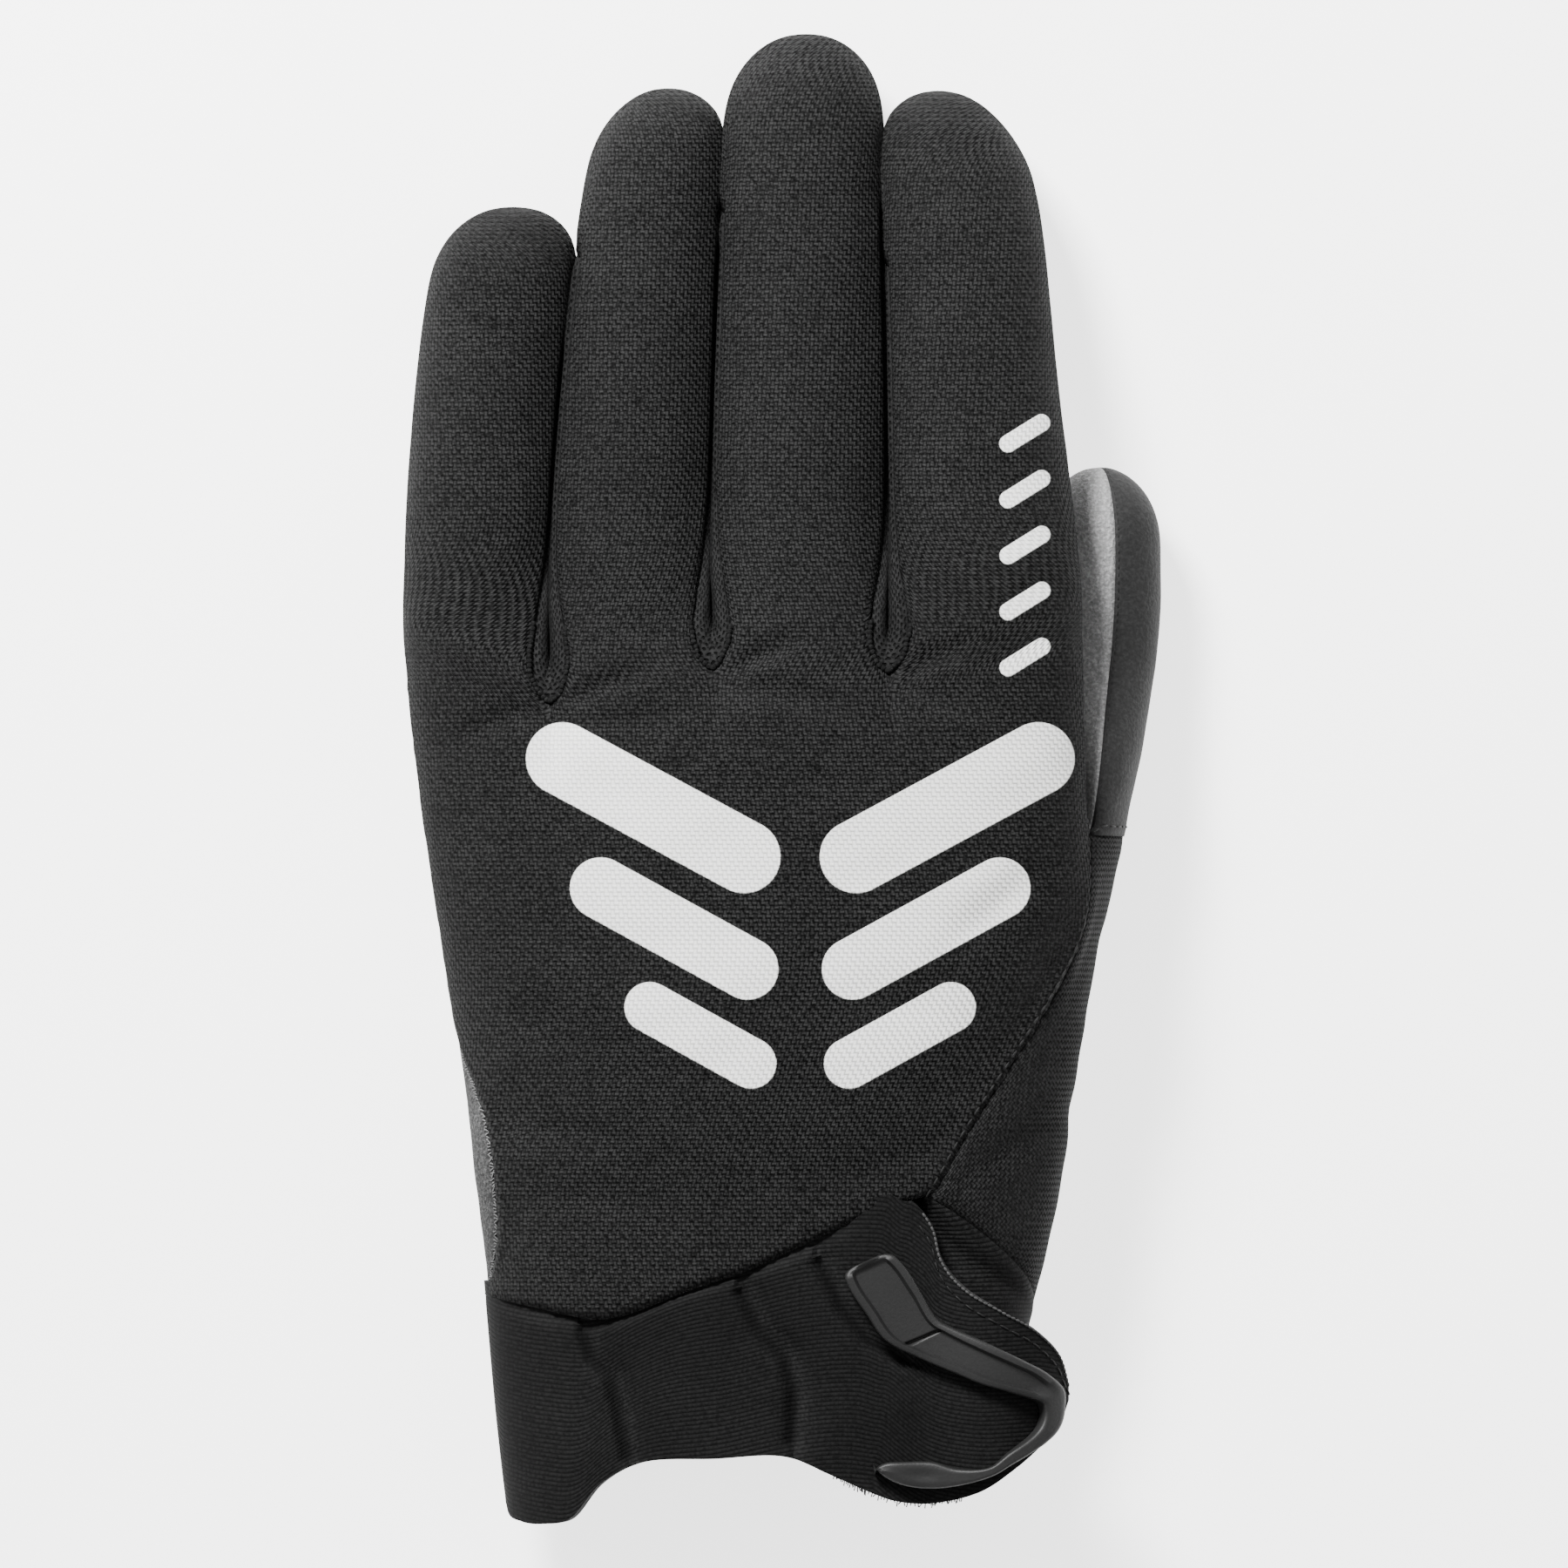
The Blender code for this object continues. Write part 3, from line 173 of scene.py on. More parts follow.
@dataclass(frozen=True)
class HandForm:
    """The glove's form: its sizes, and the cross sections that they give.

    Shares "up" are of the length, from the cuff's lowest point. Shares "across" are of the width, from its
    middle.
    """

    length: float = 214.3 * MM
    width: float = 109.1 * MM
    wrist_depth: float = 30.0 * MM
    finger_depth: float = 17.6 * MM
    thumb_width: float = 18.0 * MM
    thumb_depth: float = 16.8 * MM
    finger_gap: float = -0.85 * MM  # smoothing narrows the fingers by about as much
    thumb_clearance: float = 0.5 * MM
    slit_half_width: float = 3.1 * MM  # before smoothing, which narrows the slits
    slit_length: float = 20.0 * MM
    seam_inset: float = 0.5 * MM
    web_reach: float = 12.0 * MM
    ridge_start: float = 12.0 * MM
    palm_ridge_start: float = 8.0 * MM
    ridge_length: float = 36.0 * MM
    split_up: float = 0.465
    ridge_power: float = 2.1
    hand_power: float = 2.4
    cap_power: float = 2.2
    lean_reach: float = 1.2
    thumb_tip: float = 0.710
    thumb_cap: float = 0.058
    finger_tip_mid: float = 0.49
    thumb_base_mid: float = 0.385
    thumb_base_half: float = 0.37
    thumb_tip_mid: float = 0.53
    thumb_settles: float = 0.6  # the share of the thumb by which it has its own middle height and depth
    palm_hem: float = 0.146
    knuckle_left: float = 0.575
    knuckle_right: float = 0.592
    web_bottoms: tuple[float, ...] = (0.547, 0.570, 0.567)
    guides: tuple[float, ...] = (0.25, 0.50, 0.75)
    fingers: tuple[Finger, ...] = (
        Finger(tip=0.884, cap=0.052, lean=0.003, droop=1.3),
        Finger(tip=0.9635, cap=0.058, lean=0.012, droop=1.3),
        Finger(tip=1.0, cap=0.064, lean=0.004, droop=1.5),
        Finger(tip=0.962, cap=0.068, lean=-0.018, droop=2.0),
    )
    left_edge: Table = Table(
        "up across",
        (0.0, -0.362), (0.05, -0.374), (0.159, -0.3935), (0.235, -0.4085), (0.322, -0.43), (0.41, -0.457),
        (0.497, -0.4815), (0.555, -0.495), (0.62, -0.5), (0.69, -0.4965), (0.76, -0.486), (0.812, -0.4745),
        (0.87, -0.458),
    )
    index_edge: Table = Table(
        "up across",
        (0.22, 0.184), (0.231, 0.196), (0.249, 0.215), (0.285, 0.261), (0.32, 0.31), (0.345, 0.343),
        (0.364, 0.366), (0.384, 0.3865), (0.407, 0.401), (0.425, 0.406), (0.46, 0.402), (0.5, 0.4005),
        (0.56, 0.3975), (0.64, 0.392), (0.7, 0.38), (0.76, 0.364), (0.82, 0.354), (0.87, 0.344),
        (0.96, 0.322),
    )
    thumb_edge: Table = Table(
        "up across",
        (0.0, 0.298), (0.09, 0.31), (0.147, 0.332), (0.2, 0.3555), (0.25, 0.3765), (0.32, 0.3925),
        (0.36, 0.407), (0.41, 0.428), (0.46, 0.45), (0.5, 0.467), (0.55, 0.4855), (0.59, 0.4965),
        (0.625, 0.5), (0.72, 0.499),
    )
    webs: Table = Table(
        "up web0 web1 web2",
        (0.54, -0.305, -0.0895, 0.137), (0.64, -0.3065, -0.095, 0.1395), (0.7, -0.299, -0.0915, 0.1403),
        (0.76, -0.29, -0.088, 0.139), (0.82, -0.279, -0.0845, 0.136), (0.88, -0.262, -0.081, 0.132),
        (0.95, -0.25, -0.075, 0.128),
    )
    profile: Table = Table(
        "up left_mid right_mid rise drop",
        (0.0, 0.48, 0.51, 0.49, 0.47), (0.15, 0.48, 0.53, 0.5, 0.48), (0.29, 0.46, 0.61, 0.48, 0.45),
        (0.465, 0.44, 0.76, 0.43, 0.39), (0.55, 0.44, 0.8, 0.4, 0.35), (0.62, 0.44, 0.8, 0.37, 0.32),
    )
    swell: Table = Table("out half", (0.0, 0.53), (0.3, 0.52), (0.7, 0.485), (1.0, 0.46))
    wrap: Table = Table(
        "up wrap",
        (0.15, 0.0), (0.1565, 0.0), (0.16, 0.012), (0.178, 0.018), (0.204, 0.027), (0.235, 0.029),
        (0.263, 0.029), (0.286, 0.024), (0.318, 0.001), (0.33, 0.0), (0.96, 0.0),
    )
    slit: Table = Table("out half", (0.0, 0.0), (0.14, 0.8), (0.34, 1.0), (0.6, 0.5), (1.0, 0.0))
    thenar: Table = Table(
        "up across",
        (0.14, 0.148), (0.22, 0.17), (0.3, 0.204), (0.38, 0.236), (0.465, 0.266),
    )
    back_hem: Table = Table(
        "across up",
        (-0.4, 0.157), (-0.31, 0.146), (-0.239, 0.14), (-0.12, 0.16), (-0.044, 0.173), (0.04, 0.193),
        (0.116, 0.211), (0.185, 0.2225),
    )
    gusset_hem: Table = Table("along up", (0.0, 0.2225), (0.5, 0.178), (1.0, 0.147))
    cuff_hem: Table = Table(
        "along up",
        (0.0, 0.05), (0.2, 0.048), (0.4, 0.047), (0.6, 0.051), (0.8, 0.053), (0.91, 0.024), (0.96, 0.018),
        (1.0, 0.03),
    )
    strap_reach: float = 0.3830
    raise_from: float = 0.17
    raise_to: float = 0.31
    layers: float = 3.6 * MM
    cuff_step: float = 0.27

    def up_of(self, y: float) -> float:
        """Returns a y as a share of the length."""
        return y / self.length + 0.5

    def y_of(self, up: float) -> float:
        """Returns a share of the length as a y."""
        return (up - 0.5) * self.length

    @property
    def split_y(self) -> float:
        """The y where the thumb leaves the hand."""
        return self.y_of(self.split_up)

    def left_x(self, y: float) -> float:
        """Returns the little-finger edge's x."""
        return self.left_edge.at("across", self.up_of(y)) * self.width

    def index_x(self, y: float) -> float:
        """Returns the x of the back panel's edge at the thumb side."""
        return self.index_edge.at("across", self.up_of(y)) * self.width

    def thumb_x(self, y: float) -> float:
        """Returns the x of the glove's outer edge at the thumb side."""
        return self.thumb_edge.at("across", self.up_of(y)) * self.width

    def thenar_x(self, y: float) -> float:
        """Returns the x of the palm's seam to the thumb's suede."""
        return self.thenar.at("across", self.up_of(y)) * self.width

    def split_weight(self, y: float) -> float:
        """Returns 0 at the wrist, where the section is one loop, to 1 where the thumb leaves it."""
        start = self.y_of(self.back_hem.columns["up"][0][-1])
        return smooth((y - start) / (self.split_y - start))

    def section(self, y: float) -> tuple[float, ...]:
        """Works out the hand's left and right ends, their heights, its rise and its drop.

        Args:
            y: where along the glove.

        Returns:
            The left and right x, their heights, the rise and the drop.
        """
        up = self.up_of(y)
        right = mix(self.thumb_x(y), self.index_x(y), self.split_weight(y))
        names = ("left_mid", "right_mid", "rise", "drop")
        return (self.left_x(y), right, *(self.profile.at(name, up) * self.wrist_depth for name in names))

    def mid_height(self, x: float, y: float) -> float:
        """Returns the height of the section's middle line."""
        left, right, left_mid, right_mid, _, _ = self.section(y)
        return mix(left_mid, right_mid, (x - left) / (right - left))

    def hand_height(self, x: float, y: float, side: int, grow: float = 0.0) -> float:
        """Works out the height of the hand's back (side 1) or palm (side -1), grown by a clearance.

        Args:
            x: where across the glove.
            y: where along the glove.
            side: 1 for the back and -1 for the palm.
            grow: the clearance.

        Returns:
            The height.
        """
        left, right, left_mid, right_mid, rise, drop = self.section(y)
        half = (right - left) / 2 + grow
        mid = mix(left_mid, right_mid, (x - left) / (right - left))
        tall = (rise if side > 0 else drop) + grow
        return mid + side * tall * arch((x - (left + right) / 2) / half, self.hand_power)

    def web_bottom(self, web: int, side: int) -> float:
        """Returns the y where a slit starts, which is further up on the palm side."""
        return self.y_of(self.web_bottoms[web]) + (self.web_reach if side < 0 else 0.0)

    def web_x(self, web: int, y: float, side: int) -> float:
        """Works out the x of the line between two fingers, which is only a guide below its slit.

        Args:
            web: the slit, from 0 beside the little finger.
            y: where along the glove.
            side: 1 for the back and -1 for the palm.

        Returns:
            The x.
        """
        bottom = self.web_bottom(web, side)
        name = f"web{web}"
        if y >= bottom:
            return self.webs.at(name, self.up_of(y)) * self.width
        start = self.webs.at(name, self.up_of(bottom)) * self.width
        share = (start - self.left_x(bottom)) / (self.index_x(bottom) - self.left_x(bottom))
        hem = self.y_of(self.palm_hem)
        share = mix(self.guides[web], share, smooth((y - hem) / (bottom - hem)))
        return mix(self.left_x(y), self.index_x(y), share)

    def finger_span(self, finger: int, y: float, side: int) -> tuple[float, float]:
        """Works out the two side lines of a finger, or of its stretch of the hand.

        Args:
            finger: the finger, from 0 at the little finger.
            y: where along the glove.
            side: 1 for the back and -1 for the palm.

        Returns:
            The left and the right x.
        """
        left = self.left_x(y) if finger == 0 else self.web_x(finger - 1, y, side)
        right = self.index_x(y) if finger == 3 else self.web_x(finger, y, side)
        reach = 2 * self.slit_half_width
        if finger > 0:
            left += self.finger_gap / 2 * smooth((y - self.web_bottom(finger - 1, side)) / reach)
        if finger < 3:
            right -= self.finger_gap / 2 * smooth((y - self.web_bottom(finger, side)) / reach)
        return left, right

    def ridge_weight(self, finger: int, share: float, y: float, side: int) -> float:
        """Works out 0 on the flat of the hand to 1 on a separate finger, at a share from -1 to 1 across it.

        Args:
            finger: the finger, from 0 at the little finger.
            share: the share across, from -1 to 1.
            y: where along the glove.
            side: 1 for the back and -1 for the palm.

        Returns:
            The weight.
        """
        start = self.ridge_start if side > 0 else self.palm_ridge_start
        webs = (max(finger - 1, 0), min(finger, 2))
        ends = [smooth((y - self.web_bottom(web, side) + start) / self.ridge_length) for web in webs]
        return mix(ends[0], ends[1], (share + 1) / 2)

    def finger_base(self, finger: int) -> float:
        """Returns the y above which both of a finger's slits are open."""
        return max(self.web_bottom(web, 1) for web in (max(finger - 1, 0), min(finger, 2)))

    def finger_keep(self, finger: int, y: float) -> float:
        """Returns how much of its full section a finger keeps this near its tip."""
        tip, cap = self.y_of(self.fingers[finger].tip), self.fingers[finger].cap * self.length
        return arch(clamped((y - tip + cap) / cap), self.cap_power)

    def finger_ring(self, finger: int, y: float) -> tuple[float, float, float, float]:
        """Works out the middle x, half width, middle height and half depth of a finger's section.

        Args:
            finger: the finger, from 0 at the little finger.
            y: where along the glove.

        Returns:
            The middle x, half width, middle height and half depth.
        """
        kind = self.fingers[finger]
        tip, cap = self.y_of(kind.tip), kind.cap * self.length
        base = self.finger_base(finger)
        left, right = self.finger_span(finger, y, 1)
        out = clamped((y - base) / (tip - base))
        keep = self.finger_keep(finger, y)
        lean = kind.lean * self.width * smooth((y - tip + self.lean_reach * cap) / (self.lean_reach * cap))
        base_mid = self.mid_height((left + right) / 2, min(y, base))
        mid = mix(base_mid, self.finger_tip_mid * self.finger_depth, out**kind.droop)
        half_depth = self.swell.at("half", out) * self.finger_depth * keep
        return (left + right) / 2 + lean, (right - left) / 2 * keep, mid, half_depth

    def surface_point(self, finger: int, share: float, y: float, side: int) -> Vector:
        """Works out a point of the back (side 1) or palm (side -1), at a share from -1 to 1 across a finger.

        Args:
            finger: the finger, from 0 at the little finger.
            share: the share across, from -1 to 1.
            y: where along the glove.
            side: 1 for the back and -1 for the palm.

        Returns:
            The point.
        """
        middle, half, mid, depth = self.finger_ring(finger, y)
        weight = self.ridge_weight(finger, share, y, side)
        left, right = self.finger_span(finger, y, side)
        x = mix((left + right) / 2 + share * (right - left) / 2, middle + share * half, weight)
        flat = self.hand_height(min(x, self.section(y)[1]), y, side) if weight < 1 else 0.0
        base = self.finger_base(finger)
        row = min(y, base)
        slope = self.mid_height(x, row) - self.mid_height(middle, row)
        centre = mid + slope * (1 - smooth((y - base) / self.ridge_length))
        return Vector((x, y, mix(flat, centre + side * depth * arch(share, self.ridge_power), weight)))

    def slit_inset(self, y: float, web: int, side: int) -> float:
        """Works out how far a slit's edge lies from its side line.

        Args:
            y: where along the glove.
            web: the slit, from 0 beside the little finger.
            side: 1 for the back and -1 for the palm.

        Returns:
            The inset.
        """
        out = (y - self.web_bottom(web, side)) / self.slit_length
        if out <= 0:
            return 0.0
        return self.slit.at("half", out) * self.slit_half_width + self.seam_inset * smooth(2 * out)

    def thenar_angle(self, y: float) -> float:
        """Returns the angle across the index finger's palm, from its left, where the thumb's suede starts."""
        left, right = self.finger_span(3, y, -1)
        return math.acos(1 - 2 * (self.thenar_x(y) - left) / (right - left))

    def inset_angle(self, inset: float, half: float) -> float:
        """Returns the angle round a finger's section that lies an inset from its side."""
        return math.acos(1 - clamped(inset / half, 0.0, 0.9))

    def panel_row(self, finger: int, y_at: Callable[[float], float], side: int, columns: int) -> list[Vector]:
        """Works out one row of a finger's stretch of the back or palm, whose y may change across it.

        Args:
            finger: the finger, from 0 at the little finger.
            y_at: gives the row's y at a share across it.
            side: 1 for the back and -1 for the palm.
            columns: how many faces the row has.

        Returns:
            The row's points, from the left.
        """
        y_left, y_right = y_at(-1.0), y_at(1.0)
        left, right = self.finger_span(finger, y_left, side)
        half = max((right - left) / 2 * self.finger_keep(finger, y_left), 1e-6)
        if finger > 0:
            start = self.inset_angle(self.slit_inset(y_left, finger - 1, side), half)
        else:
            start = side * self.inset_angle(self.wrap.at("wrap", self.up_of(y_left)) * self.width, half)
        end = math.pi
        if finger < 3:
            end -= self.inset_angle(self.slit_inset(y_right, finger, side), half)
        elif side < 0:
            end = self.thenar_angle(y_left)
        points = []
        for angle in spread(start, end, columns):
            share = -math.cos(angle)
            points.append(self.surface_point(finger, share, y_at(share), side if angle >= 0 else -side))
        return points

    def index_palm_row(self, y_at: Callable[[float], float], blend: float, columns: int,
                       inner: int) -> list[Vector]:
        """Works out a palm row of the index finger above the split, which runs on round to the back's edge.

        Args:
            y_at: gives the row's y at a share across it.
            blend: 0 for the columns of the split's row, to 1 for even ones.
            columns: how many faces the row has.
            inner: how many more it has beyond the suede's seam.

        Returns:
            The row's points, from the left.
        """
        y_left = y_at(-1.0)
        left, right = self.finger_span(3, y_left, -1)
        half = max((right - left) / 2 * self.finger_keep(3, y_left), 1e-6)
        start = self.inset_angle(self.slit_inset(y_left, 2, -1), half)
        seam = self.thenar_angle(self.split_y)
        at_split = spread(start, seam, columns) + spread(seam, math.pi, inner)[1:]
        even = spread(start, math.pi, columns + inner)
        shares = [-math.cos(mix(a, b, blend)) for a, b in zip(at_split, even)]
        return [self.surface_point(3, share, y_at(share), -1) for share in shares]

    def knuckle_y(self, finger: int, share: float, side: int) -> float:
        """Works out the y of the wavy row through the slits' lower ends.

        Args:
            finger: the finger, from 0 at the little finger.
            share: the share across, from -1 to 1.
            side: 1 for the back and -1 for the palm.

        Returns:
            The y.
        """
        stops = [self.y_of(self.knuckle_left), *(self.web_bottom(web, side) for web in range(3))]
        stops.append(self.y_of(self.knuckle_right))
        return mix(stops[finger], stops[finger + 1], smooth((share + 1) / 2))

    def hem_y(self, finger: int, share: float, side: int) -> float:
        """Works out the y of the back's or the palm's lower edge.

        Args:
            finger: the finger, from 0 at the little finger.
            share: the share across, from -1 to 1.
            side: 1 for the back and -1 for the palm.

        Returns:
            The y.
        """
        y = self.y_of(self.palm_hem)
        if side > 0:
            for _ in range(4):
                left, right = self.finger_span(finger, y, side)
                across = ((left + right) + share * (right - left)) / 2 / self.width
                y = self.y_of(self.back_hem.at("up", across))
            return y
        return y if finger > 0 else mix(self.hem_y(0, -1.0, 1), y, smooth((share + 1) / 2))

    def thumb_section(self, y: float) -> tuple[float, float, float, float]:
        """Works out the middle x, half width, middle height and half depth of the thumb.

        Args:
            y: where along the glove.

        Returns:
            The middle x, half width, middle height and half depth.
        """
        tip, cap = self.y_of(self.thumb_tip), self.thumb_cap * self.length
        keep = arch(clamped((y - tip + cap) / cap), self.cap_power)
        out = smooth((y - self.split_y) / (self.thumb_settles * (tip - self.split_y)))
        mid = mix(self.thumb_base_mid * self.wrist_depth, self.thumb_tip_mid * self.thumb_depth, out)
        half = mix(self.thumb_base_half * self.wrist_depth, self.thumb_depth / 2, out)
        return self.thumb_x(y) - self.thumb_width / 2, self.thumb_width / 2 * keep, mid, half * keep

    def strap_height(self, x: float, y: float) -> float:
        """Works out the height of the strap's outer face.

        Args:
            x: where across the glove.
            y: where along the glove.

        Returns:
            The height.
        """
        left, right = self.left_x(y), self.strap_reach * self.width
        _, _, left_mid, right_mid, rise, _ = self.section(y)
        share = (x - (left + right) / 2) / ((right - left) / 2)
        lift = self.layers * smooth((x / self.width - self.raise_from) / (self.raise_to - self.raise_from))
        return mix(left_mid, right_mid, (share + 1) / 2) + rise * arch(share, self.hand_power) + lift

    def cuff_height(self, x: float, y: float) -> float:
        """Returns the height of the cuff's outer face on the back, sunk where the strap lies over it."""
        hand = self.hand_height(x, y, 1)
        return hand - max(0.0, self.layers - (self.strap_height(x, y) - hand))


@dataclass
class Skin:
    """The glove's outer surface as one mesh, each face marked with its panel and its place on the cloth."""

    form: HandForm
    back_columns: int = 8
    palm_columns: int = 6
    side_columns: int = 4
    outer_columns: int = 10
    edge_column: int = 4
    dark_column: int = 6
    inner_columns: int = 4
    hand_rows: int = 12
    knuckle_rows: int = 4
    cap_rows: int = 5
    end_row: int = 7
    straight: tuple[float, ...] = (0.0, 0.045, 0.11, 0.21, 0.34, 0.5, 0.67, 0.85, 1.0)
    cuff_shares: tuple[float, ...] = (0.0, 0.08, 0.28, 0.6, 1.0)
    seam_angle: float = math.radians(75)
    crease_angle: float = math.radians(-175)
    thumb_rounds: float = 0.45  # the share of the thumb by which its tube is a plain oval
    weld: float = 0.02 * MM
    mesh: bmesh.types.BMesh = field(default_factory=bmesh.new)

    def add(self, rows: Grid, panel: Callable[[int, int], Panel] | Panel, flip: bool = False,
            start: Sequence[float] | None = None, backwards: bool = False) -> list[float]:
        """Adds a grid of points.

        Args:
            rows: the points, row by row.
            panel: the panel, or a function of a face's row and column that gives it.
            flip: whether the faces are turned round to point outwards.
            start: each row's distance across the cloth at the end that the counting starts from.
            backwards: whether the counting starts at the row's last point and runs down from there.

        Returns:
            Each row's distance across the cloth at its other end.
        """
        cloth = self.mesh.loops.layers.uv.verify()
        start = start or [0.0] * len(rows)
        across, ends = [], []
        for row, first in zip(rows, start):
            steps = [(b - a).length / MM for a, b in zip(row, row[1:])]
            sums = np.concatenate([[0.0], np.cumsum(steps)])
            sums = sums - sums[-1] + first if backwards else sums + first
            across.append(sums)
            ends.append(float(sums[0] if backwards else sums[-1]))
        made = [[self.mesh.verts.new(point) for point in row] for row in rows]
        for r in range(len(rows) - 1):
            for c in range(len(rows[0]) - 1):
                corners = [(r, c), (r, c + 1), (r + 1, c + 1), (r + 1, c)]
                corners = corners[::-1] if flip else corners
                face = self.mesh.faces.new([made[i][j] for i, j in corners])
                face.material_index = PANELS.index(panel if isinstance(panel, Panel) else panel(r, c))
                face.smooth = True
                for loop, (i, j) in zip(face.loops, corners):
                    loop[cloth].uv = (across[i][j], rows[i][j].y / MM)
        return ends

    def rows_of(self, finger: int, side: int) -> Grid:
        """Works out a finger's rows on one side, from the hem to the tip.

        Args:
            finger: the finger, from 0 at the little finger.
            side: 1 for the back and -1 for the palm.

        Returns:
            The rows, from the hem to the tip.
        """
        form = self.form
        columns = self.back_columns if side > 0 else self.palm_columns
        rows = []
        for part in spread(0.0, 1.0, self.hand_rows):
            rows.append(form.panel_row(finger, partial(self.hand_level, finger, side, part), side, columns))
        levels = [(partial(self.knuckle_level, finger, side, part), smooth(part))
                  for part in spread(0.0, 1.0, self.knuckle_rows)[1:]]
        levels += [(partial(self.finger_level, finger, side, row), 1.0)
                   for row in range(1, len(self.straight) + self.cap_rows)]
        for level, blend in levels:
            if finger == 3 and side < 0:
                rows.append(form.index_palm_row(level, blend, columns, self.inner_columns))
            else:
                rows.append(form.panel_row(finger, level, side, columns))
        return rows

    def hand_level(self, finger: int, side: int, part: float, share: float) -> float:
        """Returns the y at a part of the way from the hem up to the split."""
        return mix(self.form.hem_y(finger, share, side), self.form.split_y, part)

    def knuckle_level(self, finger: int, side: int, part: float, share: float) -> float:
        """Returns the y at a part of the way from the split up to the slits' lower ends."""
        return mix(self.form.split_y, self.form.knuckle_y(finger, share, side), part)

    def finger_level(self, finger: int, side: int, row: int, share: float) -> float:
        """Works out the y of a row of a separate finger, at a share across it.

        Args:
            finger: the finger, from 0 at the little finger.
            side: 1 for the back and -1 for the palm.
            row: the row, counted up from the slits' lower ends.
            share: the share across, from -1 to 1.

        Returns:
            The y.
        """
        form = self.form
        tip, cap = form.y_of(form.fingers[finger].tip), form.fingers[finger].cap * form.length
        if row < len(self.straight):
            return mix(form.knuckle_y(finger, share, side), tip - cap, self.straight[row])
        return tip - cap + cap * sin_part((row - len(self.straight) + 1) / self.cap_rows)

    def build(self) -> None:
        """Builds every panel's faces and joins them."""
        form = self.form
        backs = [self.rows_of(finger, 1) for finger in range(4)]
        palms = [self.rows_of(finger, -1) for finger in range(4)]
        split, knuckle = self.hand_rows, self.hand_rows + self.knuckle_rows
        at_split = form.index_palm_row(lambda s: form.split_y, 0.0, self.palm_columns, self.inner_columns)
        for row, points in enumerate(palms[0]):
            points[0] = backs[0][row][0].copy()
        at_split[-1] = backs[3][split][-1].copy()
        for row in range(split + 1, len(palms[3])):
            palms[3][row][-1] = backs[3][row][-1].copy()
        for panels in (backs, palms):
            for left, right in zip(panels, panels[1:]):
                for row in range(knuckle + 1):
                    right[row][0] = left[row][-1].copy()
        at_split[0] = palms[3][split][0].copy()

        middle = self.add(backs[2], Panel.BACK)
        self.add(backs[3], Panel.BACK, start=middle)
        ring = self.add(backs[1], Panel.BACK, backwards=True)
        self.add(backs[0], Panel.BACK, start=ring, backwards=True)
        middle = self.add(palms[2], Panel.PALM, flip=True)
        self.add(palms[3][: split + 1], Panel.PALM, flip=True, start=middle)
        self.add([at_split, *palms[3][split + 1 :]], Panel.PALM, flip=True, start=middle[split:])
        ring = self.add(palms[1], Panel.PALM, flip=True, backwards=True)
        self.add(palms[0], Panel.PALM, flip=True, start=ring, backwards=True)
        self.add_fourchettes([rows[knuckle:] for rows in backs], [rows[knuckle:] for rows in palms])
        self.add_side_and_thumb(at_split)
        self.add_cuff(palms, backs[3][0])
        bmesh.ops.remove_doubles(self.mesh, verts=self.mesh.verts, dist=self.weld)

    def web_strip(self, top: Vector, low: Vector, side_x: float, web: int) -> list[Vector]:
        """Works out the points down a finger's side, from the back panel's edge to the palm's.

        Args:
            top: the back panel's edge.
            low: the palm's edge.
            side_x: the x of the finger's side.
            web: the slit, from 0 beside the little finger.

        Returns:
            The points.
        """
        form = self.form
        crotch = 1 - smooth((top.y - form.web_bottom(web, 1)) / form.ridge_length)
        points = [top.copy()]
        for column in range(1, self.side_columns):
            t = column / self.side_columns
            y = mix(mix(top.y, low.y, t), mix(top.y, low.y, sin_part(t)), crotch)
            z = mix(mix(top.z, low.z, t), mix(top.z, low.z, 1 - sin_part(1 - t)), crotch)
            x = mix(side_x, top.x if t < 0.5 else low.x, (2 * t - 1) ** 2)
            points.append(Vector((x, y, z)))
        return [*points, low.copy()]

    def add_fourchettes(self, backs: list[Grid], palms: list[Grid]) -> None:
        """Adds the strips between the fingers. Above their ends the back and the palm meet.

        Args:
            backs: each finger's rows of the back, from the slits up.
            palms: each finger's rows of the palm.
        """
        half_way = self.side_columns // 2
        for web, panel in enumerate(FOURCHETTES):
            for finger, edge in ((web, -1), (web + 1, 0)):
                strip = []
                for row, (back, palm) in enumerate(zip(backs[finger], palms[finger])):
                    top, low = back[edge], palm[edge]
                    middle, half, _, _ = self.form.finger_ring(finger, top.y)
                    side_x = top.x if row == 0 else middle + half * (1 if edge else -1)
                    strip.append(self.web_strip(top, low, side_x, web))
                flip = edge == 0
                end = self.end_row
                self.add(strip[: end + 1], panel, flip=flip)
                self.add(strip[end:], lambda r, c: Panel.BACK if c < half_way else Panel.PALM, flip=flip)

    def outer_angle(self, column: int) -> float:
        """Works out a column's angle on the thumb's outer side, from the back's seam round to the palm's.

        Args:
            column: the column.

        Returns:
            The angle.
        """
        past = column - self.edge_column
        if past <= 0:
            return mix(self.seam_angle, 0.0, column / self.edge_column)
        return mix(0.0, self.crease_angle, past / (self.outer_columns - self.edge_column))

    def thumb_oval(self, y: float, angle: float) -> tuple[float, float]:
        """Returns the x and z on the thumb's section."""
        middle, half, mid, depth = self.form.thumb_section(y)
        return middle + half * math.cos(angle), mid + depth * math.sin(angle)

